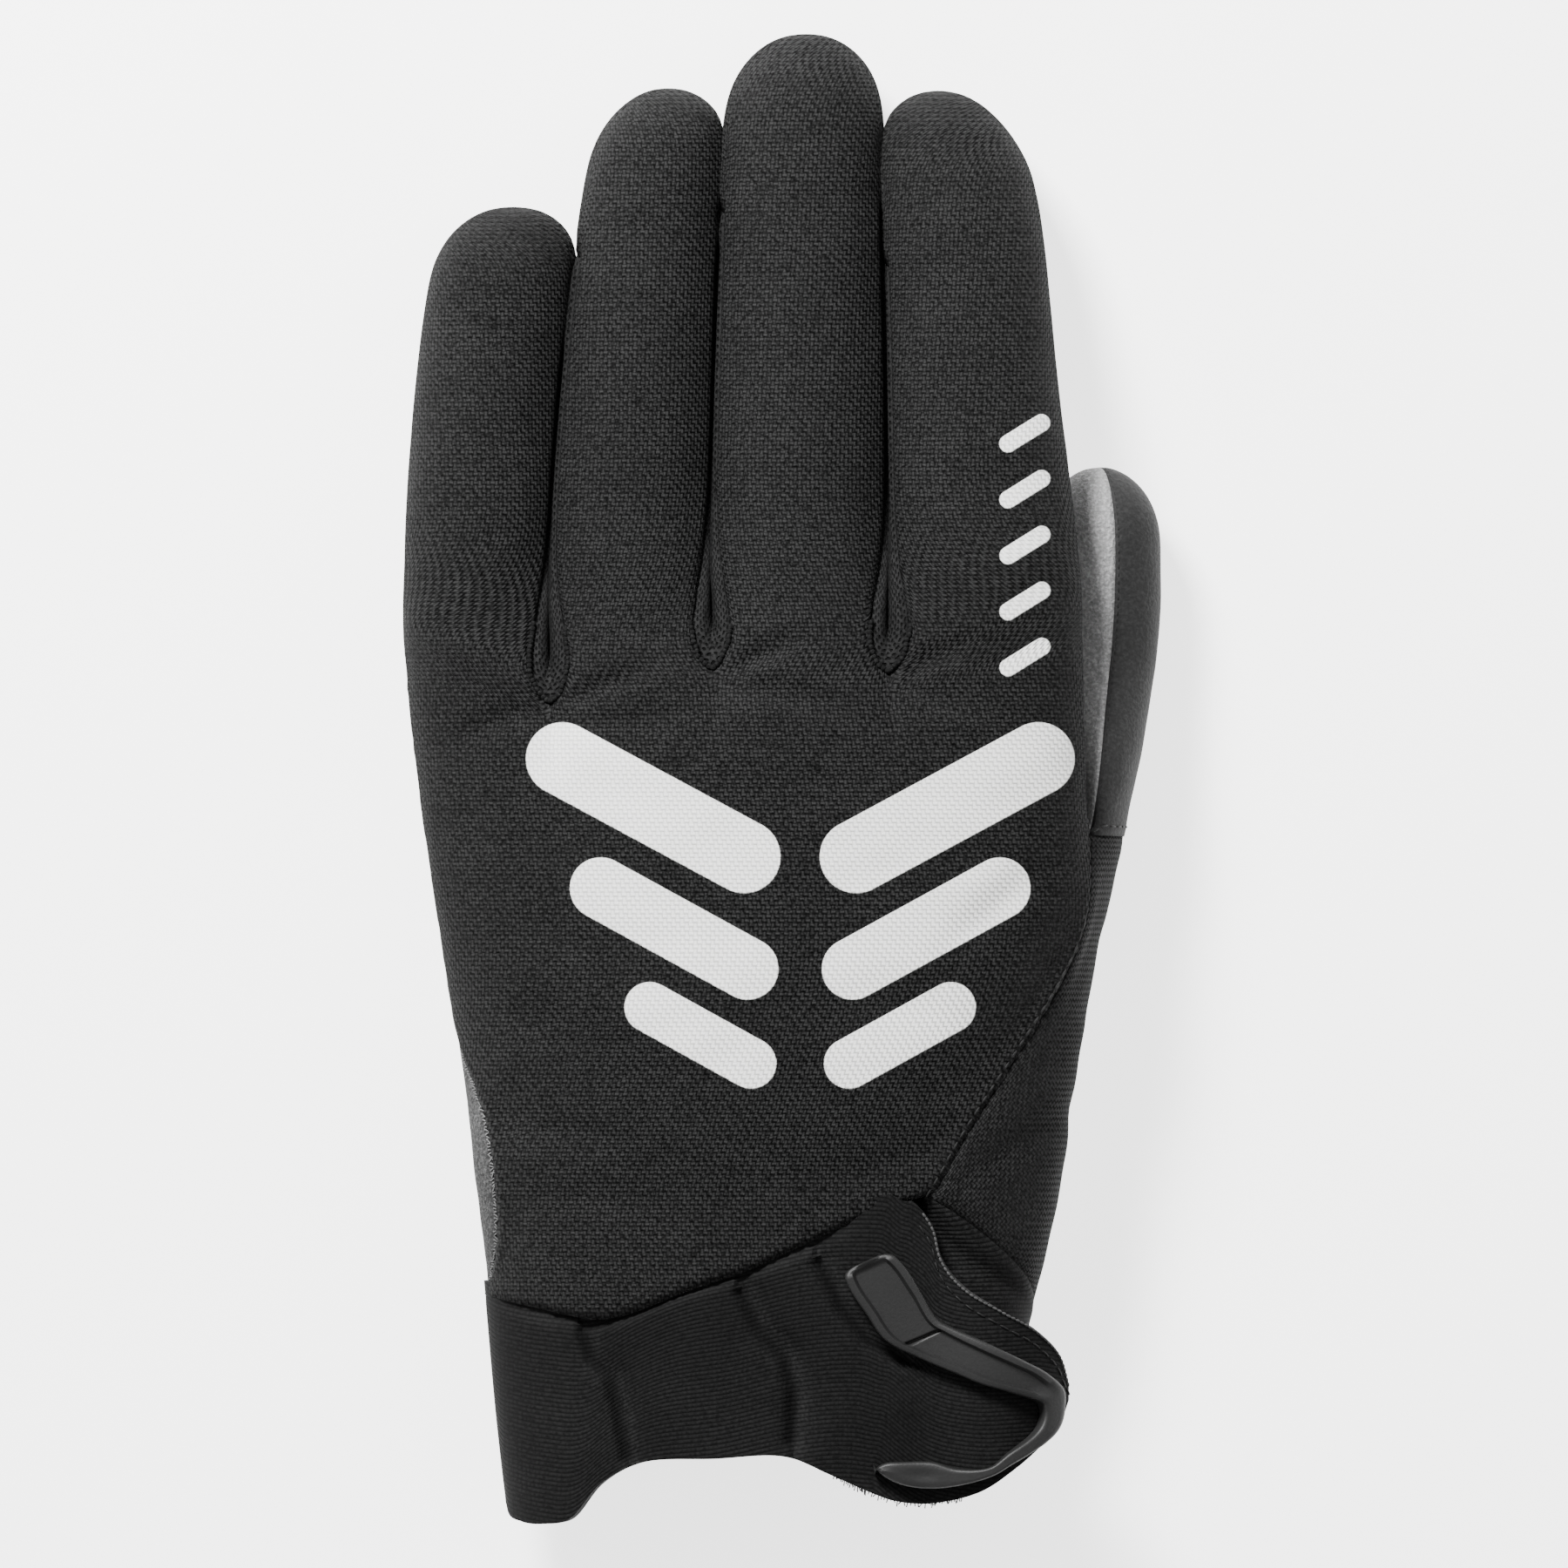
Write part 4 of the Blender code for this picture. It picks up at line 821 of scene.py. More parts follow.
    def loop_oval(self, y: float, share: float, above: bool) -> tuple[float, float]:
        """Works out the x and z on the wrist's whole section.

        Args:
            y: where along the glove.
            share: the share across, from -1 to 1.
            above: whether the point is on the upper half.

        Returns:
            The x and z.
        """
        form = self.form
        left, right = form.left_x(y), form.thumb_x(y)
        _, _, left_mid, right_mid, rise, drop = form.section(y)
        bulge = (rise if above else -drop) * arch(share, form.hand_power)
        height = mix(left_mid, right_mid, (share + 1) / 2) + bulge
        return (left + right) / 2 + share * (right - left) / 2, height

    def side_point(self, column: int, y: float) -> Vector:
        """Works out a point of the hand's side below the split, from the back's edge round to the palm's.

        Args:
            column: the column.
            y: where along the glove.

        Returns:
            The point.
        """
        form = self.form
        left, right = form.left_x(y), form.thumb_x(y)
        above = column <= self.edge_column
        target_share = 1.0 if above else -math.cos(form.thenar_angle(y))
        target = form.surface_point(3, target_share, y, 1 if above else -1)
        limit = min(abs(target.x - (left + right) / 2) / ((right - left) / 2), 0.999)
        far = 0 if above else self.outer_columns
        part = (column - self.edge_column) / (far - self.edge_column)
        weight = form.split_weight(y)
        shift = form.thumb_x(y) - form.thumb_x(form.split_y)
        spots = []
        for share, place in ((math.cos(part * math.acos(limit)), column), (limit, far)):
            loop = self.loop_oval(y, share, above)
            thumb = self.thumb_oval(form.split_y, self.outer_angle(place))
            spots.append((mix(loop[0], thumb[0] + shift, weight), mix(loop[1], thumb[1], weight)))
        (x, z), (end_x, end_z) = spots
        return Vector((x + (target.x - end_x) * part**2, y, z + (target.z - end_z) * part**2))

    def side_hem_y(self, column: int) -> float:
        """Works out the y of the side's lower edge.

        Args:
            column: the column.

        Returns:
            The y.
        """
        form = self.form
        if column <= self.edge_column:
            return form.y_of(form.gusset_hem.at("up", column / self.edge_column))
        part = (column - self.edge_column) / (self.outer_columns - self.edge_column)
        return mix(form.y_of(form.gusset_hem.columns["up"][0][-1]), form.y_of(form.palm_hem), part)

    def ceiling(self, x: float, y: float) -> float:
        """Works out the highest that the thumb may reach here, below the index finger.

        Args:
            x: where across the glove.
            y: where along the glove.

        Returns:
            The height, which is infinite beside the finger.
        """
        form = self.form
        clear = form.thumb_clearance
        if x >= form.index_x(y) + clear:
            return math.inf
        left, right = form.finger_span(3, y, 1)
        share = clamped(2 * (x - left) / (right - left) - 1, -1)
        middle, half, mid, depth = form.finger_ring(3, y)
        ridge = mid - (depth + clear) * arch((x - middle) / (half + clear), form.ridge_power)
        return mix(form.hand_height(x, y, -1, clear), ridge, form.ridge_weight(3, share, y, -1))

    def thumb_point(self, column: int, y: float, base: Vector) -> Vector:
        """Works out a point of the thumb's tube, whose column starts at base.

        Args:
            column: the column.
            y: where along the glove.
            base: where the column starts.

        Returns:
            The point.
        """
        form = self.form
        if column <= self.outer_columns:
            angle = self.outer_angle(column)
        else:
            part = (column - self.outer_columns) / self.inner_columns
            angle = mix(2 * math.pi + self.crease_angle, self.seam_angle, part)
        x, z = self.thumb_oval(y, angle)
        tip = form.y_of(form.thumb_tip)
        blend = smooth((y - form.split_y) / (self.thumb_rounds * (tip - form.split_y)))
        x = mix(base.x + form.thumb_x(y) - form.thumb_x(form.split_y), x, blend)
        z = mix(base.z, z, blend)
        ramp = min((y - form.split_y) / (2 * form.thumb_clearance), 1.0)
        ceiling = self.ceiling(x, y)
        return Vector((x, y, mix(z, ceiling, ramp) if ramp > 0 and z > ceiling else z))

    def add_side_and_thumb(self, at_split: list[Vector]) -> None:
        """Adds the gusset with the suede beside it, and the thumb's tube above them.

        Args:
            at_split: the palm's row at the split.
        """
        form = self.form
        outer, dark = self.outer_columns, self.dark_column
        rows = []
        for part in spread(0.0, 1.0, self.hand_rows):
            levels = [mix(self.side_hem_y(c), form.split_y, part) for c in range(outer + 1)]
            rows.append([self.side_point(c, y) for c, y in enumerate(levels)])
        starts = [row[0].x / MM for row in rows]
        self.add(rows, lambda r, c: Panel.GUSSET if c < dark else Panel.THUMB_FRONT, start=starts)
        base = rows[-1] + at_split[self.palm_columns + 1 :]
        tip, cap = form.y_of(form.thumb_tip), form.thumb_cap * form.length
        levels = [mix(form.split_y, tip - cap, share) for share in self.straight]
        levels += [tip - cap + cap * sin_part(i / self.cap_rows) for i in range(1, self.cap_rows + 1)]
        tube = [base] + [[self.thumb_point(c, y, base[c]) for c in range(len(base))] for y in levels[1:]]
        for row in tube[1:]:
            row[-1] = row[0].copy()
        self.add(tube, lambda r, c: Panel.THUMB_BACK if c < dark else Panel.THUMB_FRONT)

    def add_cuff(self, palms: list[Grid], flap: list[Vector]) -> None:
        """Adds the cuff, from its flap under the strap round the thumb side and the palm.

        Args:
            palms: each finger's rows of the palm.
            flap: the back panel's lowest row on the index finger's stretch.
        """
        form = self.form
        starts = [(point, 1) for point in flap[:-1]]
        for column in range(self.outer_columns + 1):
            side = 1 if column <= self.edge_column else -1
            starts.append((self.side_point(column, self.side_hem_y(column)), side))
        for finger in (3, 2, 1, 0):
            starts += [(point, -1) for point in palms[finger][0][::-1][1:]]
        rows = [[] for _ in self.cuff_shares]
        for index, (start, side) in enumerate(starts):
            end_y = form.y_of(form.cuff_hem.at("up", index / (len(starts) - 1)))
            left, right = form.left_x(start.y), form.thumb_x(start.y)
            share = (start.x - (left + right) / 2) / ((right - left) / 2)
            offset = start.z - form.hand_height(start.x, start.y, side)
            past = index - self.back_columns
            step = form.cuff_step * clamped(past / self.edge_column) + self.cuff_shares[1]
            for row, part in enumerate(self.cuff_shares):
                y = mix(start.y, end_y, part)
                left, right = form.left_x(y), form.thumb_x(y)
                x = (left + right) / 2 + share * (right - left) / 2
                z = form.hand_height(x, y, side) + offset * (1 - smooth(part))
                if past <= self.edge_column:
                    sunk = 1.0 if past < 0 else smooth(part / step)
                    z += (form.cuff_height(x, y) - form.hand_height(x, y, 1)) * sunk
                rows[row].append(Vector((x, y, z)))
        self.add(rows, Panel.CUFF, flip=True)


def linear(code: str) -> tuple[float, float, float, float]:
    """Turns an sRGB hex colour into linear values.

    Args:
        code: the colour, such as "#1a1a1a".

    Returns:
        The linear red, green and blue, and an alpha of 1.
    """
    parts = [int(code[i : i + 2], 16) / 255 for i in (1, 3, 5)]
    return (*[c / 12.92 if c <= 0.04045 else ((c + 0.055) / 1.055) ** 2.4 for c in parts], 1.0)


def add_node(tree: Tree, kind: str, inputs: dict | None = None, **settings: Any) -> bpy.types.Node:
    """Adds a node.

    Args:
        tree: the node tree.
        kind: the node's type.
        inputs: by name or number, each input's value, or the other node's output that feeds it.
        settings: the node's own settings.

    Returns:
        The node.
    """
    made = tree.nodes.new(kind)
    for name, value in settings.items():
        setattr(made, name, value)
    for key, value in (inputs or {}).items():
        if isinstance(value, Socket):
            tree.links.new(value, made.inputs[key])
        else:
            made.inputs[key].default_value = value
    return made


def maths(tree: Tree, operation: str, *values: Any, clamp: bool = False) -> Socket:
    """Returns the result of a Math node."""
    inputs = dict(enumerate(values))
    return add_node(tree, "ShaderNodeMath", inputs, operation=operation, use_clamp=clamp).outputs[0]


def vector_maths(tree: Tree, operation: str, first: Any, second: Any) -> Socket:
    """Adds a Vector Math node.

    Args:
        tree: the node tree.
        operation: the operation.
        first: the first vector.
        second: the second vector, or the factor that scales the first.

    Returns:
        The resulting vector or value.
    """
    inputs = {0: first, ("Scale" if operation == "SCALE" else 1): second}
    made = add_node(tree, "ShaderNodeVectorMath", inputs, operation=operation)
    return made.outputs["Value" if operation in ("DOT_PRODUCT", "DISTANCE") else "Vector"]


def ranged(tree: Tree, value: Any, source: tuple[float, float], target: tuple[float, float] = (0.0, 1.0),
           clamp: bool = True) -> Socket:
    """Adds a Map Range node.

    Args:
        tree: the node tree.
        value: the value to map.
        source: the range that it comes from.
        target: the range that it goes to.
        clamp: whether the result stays in that range.

    Returns:
        The mapped value.
    """
    names = ("From Min", "From Max", "To Min", "To Max")
    inputs = {"Value": value} | dict(zip(names, (*source, *target)))
    return add_node(tree, "ShaderNodeMapRange", inputs, clamp=clamp).outputs[0]


def blended(tree: Tree, share: Socket, first: Any, second: Any) -> Socket:
    """Returns the colour that lies at a share from the first to the second."""
    inputs = {"Factor": share, 6: first, 7: second}
    return add_node(tree, "ShaderNodeMix", inputs, data_type="RGBA").outputs[2]


def grain(tree: Tree, place: Socket, scale: float, detail: float, **more: float) -> Socket:
    """Returns the value of a Noise Texture node."""
    inputs = {"Vector": place, "Scale": scale, "Detail": detail} | more
    return add_node(tree, "ShaderNodeTexNoise", inputs).outputs["Fac"]


class Weave(Enum):
    """How a cloth or a moulded surface is made up, close to."""

    PLAIN = "plain"
    TWILL = "twill"
    HONEYCOMB = "honeycomb"
    RIB = "rib"
    NAP = "nap"
    GRAIN = "grain"


@dataclass(frozen=True)
class Bar:
    """A rounded bar of a printed pattern, in millimetres in the frame's x and y."""

    start: tuple[float, float]
    end: tuple[float, float]
    radius: float


@dataclass(frozen=True)
class Finish:
    """One material: its colours, its surface and its pattern at real size."""

    name: str
    colour: str
    # on a weave, painted shade between the threads; on a nap or a grain, its darker random tone
    gap_colour: str
    roughness: float
    weave: Weave
    pitch: float  # millimetres
    relief: float  # millimetres
    specular: float = 0.5
    cloudy: float = 0.2  # how much its brightness drifts
    slub: float = 0.0  # how much darker the uneven threads across the cloth are
    glow: float = 0.0
    painted_light_map: str = ""  # the mesh attribute of painted shade and painted highlight that scales the colour, where there is one
    bars: tuple[Bar, ...] = ()
    ink: tuple[str, str] = ("#c9c9c7", "#e8e8e6")  # the print: darker between the threads as painted shade, and lighter on them
    cloud_scale: float = 70.0
    fleck_scale: float = 2200.0

    def build(self) -> bpy.types.Material:
        """Builds the material.

        Returns:
            The material.
        """
        material = bpy.data.materials.new(self.name)
        material.use_nodes = True
        tree = material.node_tree
        tree.nodes.clear()
        place = add_node(tree, "ShaderNodeTexCoord").outputs["Object"]
        height = self.pattern(tree)
        cloud = grain(tree, place, self.cloud_scale, 3.0)
        colour, depth = self.thread_colour(tree, place, height, cloud), height
        if self.bars:
            mask = self.printed(tree, place)
            colour = blended(tree, mask, colour, blended(tree, height, *map(linear, self.ink)))
            calm = ranged(tree, mask, (0.0, 1.0), (1.0, 0.45))
            depth = maths(tree, "MULTIPLY_ADD", height, calm, mask)
        worn = maths(tree, "MULTIPLY", height, cloud)
        rough = ranged(tree, worn, (0.0, 1.0), (self.roughness + 0.06, self.roughness - 0.06))
        raised = {"Height": depth, "Distance": self.relief * MM, "Strength": 1.0}
        bump = add_node(tree, "ShaderNodeBump", raised)
        shader = add_node(tree, "ShaderNodeBsdfPrincipled", {
            "Base Color": colour,
            "Roughness": rough,
            "Normal": bump.outputs[0],
            "IOR": 1.5,
            "Specular IOR Level": self.specular,
            "Emission Color": (1.0, 1.0, 1.0, 1.0),
            "Emission Strength": self.glow,
        })
        add_node(tree, "ShaderNodeOutputMaterial", {"Surface": shader.outputs[0]})
        return material

    def thread_colour(self, tree: Tree, place: Socket, height: Socket, cloud: Socket) -> Socket:
        """Works out the cloth's colour. On a weave, the threads that stand up get a painted highlight, single
        threads get painted glints, and the gaps between them get painted shade; on a nap or a grain, the
        spots are darker and lighter at random.

        Args:
            tree: the material's node tree.
            place: the place on the object.
            height: the pattern's height.
            cloud: a slow drift from 0 to 1.

        Returns:
            The colour.
        """
        # on a weave, the flecks are painted glints of single threads; on a nap or a grain, they are random
        # tone
        fleck = grain(tree, place, self.fleck_scale, 1.0)
        fleck = ranged(tree, fleck, (0.34, 0.66), (0.15, 1.3), clamp=False)
        lit = maths(tree, "MULTIPLY", height, fleck, clamp=True)
        if self.slub:
            lit = maths(tree, "MULTIPLY", lit, self.slubs(tree))
        # on a weave, the gap colour is painted shade between the threads and the colour is a painted
        # highlight on them
        body = blended(tree, lit, linear(self.gap_colour), linear(self.colour))
        drift = ranged(tree, cloud, (0.3, 0.7), (1 - self.cloudy, 1 + self.cloudy))
        colour = vector_maths(tree, "SCALE", body, drift)
        # painted shade and painted highlight, read from the mesh attribute
        if self.painted_light_map:
            shade = add_node(tree, "ShaderNodeAttribute", attribute_name=self.painted_light_map).outputs["Fac"]
            colour = vector_maths(tree, "SCALE", colour, shade)
        return colour

    def slubs(self, tree: Tree) -> Socket:
        """Works out the brightness along the cloth's uneven crosswise threads, about a millimetre apart.

        Args:
            tree: the material's node tree.

        Returns:
            The brightness.
        """
        cloth = add_node(tree, "ShaderNodeUVMap", uv_map=CLOTH_MAP).outputs[0]
        streak = grain(tree, vector_maths(tree, "MULTIPLY", cloth, (0.09, 0.8, 0.0)), 1.0, 2.0)
        return ranged(tree, streak, (0.38, 0.52), (1 - self.slub, 1.0))

    def pattern(self, tree: Tree) -> Socket:
        """Works out the surface's height, from the cloth map or, for a grain, from the object's place.

        Args:
            tree: the material's node tree.

        Returns:
            The height, from 0 to 1.
        """
        if self.weave in (Weave.NAP, Weave.GRAIN):
            place = add_node(tree, "ShaderNodeTexCoord").outputs["Object"]
            detail = 4.0 if self.weave is Weave.NAP else 1.0
            coarse = grain(tree, place, 1000 / self.pitch, detail, Roughness=0.6)
            return ranged(tree, coarse, (0.3, 0.7))
        cloth = add_node(tree, "ShaderNodeUVMap", uv_map=CLOTH_MAP).outputs[0]
        turn = math.radians(45) if self.weave is Weave.TWILL else 0.0
        sizes = {"Vector": cloth, "Rotation": (0, 0, turn), "Scale": (math.pi / self.pitch,) * 3}
        cloth = add_node(tree, "ShaderNodeMapping", sizes).outputs[0]
        if self.weave is Weave.HONEYCOMB:
            return self.honeycomb(tree, cloth)
        axes = add_node(tree, "ShaderNodeSeparateXYZ", {0: cloth})
        across, along = (maths(tree, "SINE", axes.outputs[i]) for i in range(2))
        warp, weft = maths(tree, "ABSOLUTE", across), maths(tree, "ABSOLUTE", along)
        if self.weave is Weave.RIB:
            return maths(tree, "MULTIPLY", weft, maths(tree, "MULTIPLY_ADD", warp, 0.25, 0.75))
        over = maths(tree, "GREATER_THAN", maths(tree, "MULTIPLY", across, along), 0.0)
        return add_node(tree, "ShaderNodeMix", {"Factor": over, 2: warp, 3: weft}).outputs[0]

    def honeycomb(self, tree: Tree, cloth: Socket) -> Socket:
        """Works out the height of a knit with hexagonal holes.

        Args:
            tree: the material's node tree.
            cloth: the place on the cloth.

        Returns:
            The height.
        """
        total = 0.0
        for tilt in (0.0, 60.0, 120.0):
            facing = (math.cos(math.radians(tilt)) * 2, math.sin(math.radians(tilt)) * 2, 0.0)
            wave = maths(tree, "COSINE", vector_maths(tree, "DOT_PRODUCT", cloth, facing))
            total = maths(tree, "ADD", total, wave)
        return ranged(tree, total, (2.2, 0.4))

    def printed(self, tree: Tree, place: Socket) -> Socket:
        """Marks the printed bars, which are cut from the object's x and y.

        Args:
            tree: the material's node tree.
            place: the place on the object.

        Returns:
            1 inside any of the bars and 0 outside.
        """
        flat = vector_maths(tree, "MULTIPLY", place, (1000.0, 1000.0, 0.0))
        nearest = 1000.0
        for bar in self.bars:
            start, run = Vector((*bar.start, 0)), Vector((*bar.end, 0)) - Vector((*bar.start, 0))
            off = vector_maths(tree, "SUBTRACT", flat, start)
            along = vector_maths(tree, "DOT_PRODUCT", off, run / run.length_squared)
            share = add_node(tree, "ShaderNodeClamp", {0: along}).outputs[0]
            spot = vector_maths(tree, "SCALE", run, share)
            edge = maths(tree, "SUBTRACT", vector_maths(tree, "DISTANCE", off, spot), bar.radius)
            nearest = maths(tree, "MINIMUM", nearest, edge)
        return ranged(tree, nearest, (0.07, -0.07))


BACK_BARS = (
    Bar((-31.5, 3.0), (-5.5, -11.0), 5.2),
    Bar((36.5, 3.0), (10.5, -11.0), 5.2),
    Bar((-26.0, -15.5), (-5.0, -27.0), 4.4),
    Bar((31.0, -15.5), (10.0, -27.0), 4.4),
    Bar((-19.0, -32.5), (-4.5, -40.5), 3.6),
    Bar((24.0, -32.5), (9.5, -40.5), 3.6),
    *(Bar((32.2, 16.0 + 8.0 * i), (37.0, 19.0 + 8.0 * i), 1.25) for i in range(5)),
)


class Finishes:
    """The glove's materials."""

    # Stretch polyester, plain woven: matt, with painted glints on single threads and painted shade between
    # the threads.
    BACK = Finish("stretch_polyester_woven", "#242424", "#030303", 0.8, Weave.PLAIN, 0.62, 0.18, 0.1,
                  cloudy=0.07, slub=0.15, bars=BACK_BARS)
    # Synthetic suede: a short brushed nap with no gloss.
    PALM = Finish("synthetic_suede_grey", "#545454", "#2c2c2c", 0.95, Weave.NAP, 0.5, 0.16, 0.1)
    THUMB = Finish("synthetic_suede_light", "#a3a3a3", "#7a7a7a", 0.95, Weave.NAP, 0.5, 0.16, 0.1)
    # Coated microfibre: a faint leather grain under a soft gloss.
    OVERLAY = Finish("coated_microfibre", "#262626", "#1c1c1c", 0.7, Weave.GRAIN, 0.6, 0.05, 0.15)
    # Warp-knitted spacer mesh: its hexagonal cells are only a bump, and the open holes between them are
    # painted near-black shade.
    MESH = Finish("knitted_mesh", "#1b1b1b", "#010101", 0.8, Weave.HONEYCOMB, 0.95, 0.7, 0.12)
    # Two-way stretch polyester, finer than the back's.
    STRETCH = Finish("stretch_polyester_fine", "#222222", "#040404", 0.8, Weave.TWILL, 0.6, 0.14, 0.1)
    # Ribbed knit laminated on neoprene foam.
    CUFF = Finish("ribbed_knit_on_foam", "#1a1a1a", "#060606", 0.8, Weave.RIB, 0.62, 0.1, 0.1)
    # Knit laminate of the strap, with painted shade in its grooves and a painted highlight beside them.
    STRAP = Finish("knit_laminate_strap", "#141414", "#060606", 0.78, Weave.RIB, 0.62, 0.07, 0.1,
                   painted_light_map=PAINTED_LIGHT_MAP)
    # The foam's cut edge, with fine open pores.
    EDGE = Finish("foam_cut_edge", "#262626", "#141414", 0.8, Weave.GRAIN, 0.5, 0.08, 0.15)
    # Woven nylon tape with stiff hooks.
    HOOKS = Finish("hook_tape", "#0c0c0c", "#050505", 0.7, Weave.GRAIN, 0.7, 0.3)
    # Moulded thermoplastic rubber: smooth, with a low satin gloss.
    RUBBER = Finish("moulded_rubber_satin", "#1a1a1a", "#161616", 0.5, Weave.GRAIN, 0.4, 0.01, 0.3, 0.1)
    # Bonded polyester thread: smooth and a little glossy.
    THREAD = Finish("bonded_polyester_thread", "#121212", "#0a0a0a", 0.6, Weave.GRAIN, 0.3, 0.02, 0.25)
    PALE_THREAD = Finish("bonded_thread_grey", "#4b4b4b", "#3b3b3b", 0.55, Weave.GRAIN, 0.3, 0.02)
    # A lighter bead along the strap's free edge: part binding thread, part painted highlight of the edge.
    BINDING_AND_HIGHLIGHT = Finish("bound_edge_thread_and_highlight", "#3d3d3d", "#303030", 0.7, Weave.GRAIN, 0.3, 0.02, 0.2)
    # Textured nylon, which stays matt and bulky where it is overlocked.
    KNOTS = Finish("textured_nylon_thread", "#1c1c1c", "#070707", 0.85, Weave.NAP, 0.5, 0.1, 0.1)
    # Loose nylon fibres of the suede's cut edge.
    FIBRE = Finish("brushed_nylon_fibre", "#6c6c6c", "#5a5a5a", 0.8, Weave.GRAIN, 0.3, 0.02, 0.1)
    # White matt paper, which glows a little, as the photo's background is pure white.
    FLOOR = Finish("matt_paper", "#fafafa", "#f9f9f8", 0.9, Weave.GRAIN, 2.0, 0.0, cloudy=0.0, glow=2.4)

    made: dict[str, bpy.types.Material] = {}

    @classmethod
    def get(cls, finish: Finish) -> bpy.types.Material:
        """Makes a finish's material once.

        Args:
            finish: the finish.

        Returns:
            Its material.
        """
        if finish.name not in cls.made:
            cls.made[finish.name] = finish.build()
        return cls.made[finish.name]


def new_object(name: str, mesh: bpy.types.ID, *finishes: Finish) -> bpy.types.Object:
    """Puts a new object in the scene. A mesh that has materials keeps them.

    Args:
        name: the object's name.
        mesh: its mesh or curve.
        finishes: its materials.

    Returns:
        The object.
    """
    made = bpy.data.objects.new(name, mesh)
    bpy.context.scene.collection.objects.link(made)
    if not mesh.materials:
        for finish in finishes:
            mesh.materials.append(Finishes.get(finish))
    return made


def mesh_of(name: str, shape: bmesh.types.BMesh) -> bpy.types.Mesh:
    """Works out a mesh made from a bmesh, which is freed.

    Args:
        name: the column's name.
        shape: the bmesh.

    Returns:
        The mesh.
    """
    mesh = bpy.data.meshes.new(name)
    shape.to_mesh(mesh)
    shape.free()
    return mesh


def baked(obj: bpy.types.Object) -> bpy.types.Object:
    """Applies an object's modifiers to its mesh.

    Args:
        obj: the object.

    Returns:
        The same object, with its final mesh.
    """
    graph = bpy.context.evaluated_depsgraph_get()
    final = obj.evaluated_get(graph)
    mesh = bpy.data.meshes.new_from_object(final, preserve_all_data_layers=True, depsgraph=graph)
    old = obj.data
    obj.modifiers.clear()
    obj.data = mesh
    bpy.data.meshes.remove(old)
    mesh.name = obj.name
    return obj


def hand_over(obj: bpy.types.Object, slot: str, *nodes: str) -> None:
    """Lets a finished piece ride on the root body.

    Args:
        obj: the piece.
        slot: a material slot's name, which is not used.
        nodes: the solids that it stands for.
    """
    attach(obj, ROOT)
    if nodes:
        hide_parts(*nodes)
    LOG.info("%s: %d faces", obj.name, len(obj.data.polygons))


@dataclass(frozen=True)
class Crease:
    """A fold that the cloth holds: a line in x and y, with its depth and width, all in millimetres."""

    start: tuple[float, float]
    end: tuple[float, float]
    depth: float
    width: float

    def drop(self, point: Vector) -> float:
        """Works out how far the fold lowers the cloth.

        Args:
            point: the point on the cloth.

        Returns:
            The drop in metres.
        """
        start, end = Vector(self.start) * MM, Vector(self.end) * MM
        run = end - start
        share = clamped((point.xy - start).dot(run) / run.length_squared)
        away = (point.xy - start - run * share).length / (self.width * MM)
        return self.depth * MM * bell(away) * math.sin(math.pi * mix(0.08, 0.92, share))


CREASES = (
    # Out of the slits between the fingers
    Crease((-34.0, 10.5), (-19.0, 16.0), 1.2, 1.5),
    Crease((-33.0, 8.5), (-15.0, 8.5), 0.6, 1.7),
    Crease((-35.0, 10.5), (-48.0, 6.0), 0.8, 1.7),
    Crease((-10.5, 15.0), (3.0, 20.5), 1.2, 1.5),
    Crease((-9.0, 14.0), (9.0, 10.5), 0.9, 1.8),
    Crease((14.0, 14.5), (26.0, 19.5), 1.1, 1.5),
    Crease((15.5, 13.0), (31.0, 10.0), 0.6, 1.7),
    # Over the back of the hand
    Crease((40.0, -10.0), (24.0, -24.0), 0.6, 2.6),
    Crease((47.0, -20.0), (33.0, -38.0), 0.7, 2.4),
    Crease((44.0, -46.0), (24.0, -58.0), 0.9, 2.2),
    Crease((-47.0, -30.0), (-28.0, -38.0), 0.6, 2.4),
    Crease((-43.0, -48.0), (-22.0, -52.0), 0.6, 2.2),
    Crease((-40.0, -60.0), (-18.0, -60.0), 0.5, 2.0),
    Crease((26.0, -52.0), (4.0, -58.0), 0.5, 2.2),
    # Beside the strap's free end
    Crease((19.0, -64.5), (39.0, -75.5), 0.9, 1.6),
)


@dataclass(frozen=True)
class SeamEdge:
    """How a panel's cloth runs to its seams: its height there and the turned edge's reach, in millimetres."""

    at_seam: float
    reach: float
    ridge: float = 0.0

    def height(self, away: float) -> float:
        """Returns the turned edge's height at a distance from the seam, in millimetres."""
        ridge = self.ridge * bell((away - self.reach * 1.6) / self.reach)
        return self.at_seam * bell(away / self.reach) + ridge


@dataclass(frozen=True)
class PanelStyle:
    """How one panel is finished, with its wall and its billow in millimetres."""

    finish: Finish
    slot: str
    wall: float
    edge: SeamEdge
    billow: float


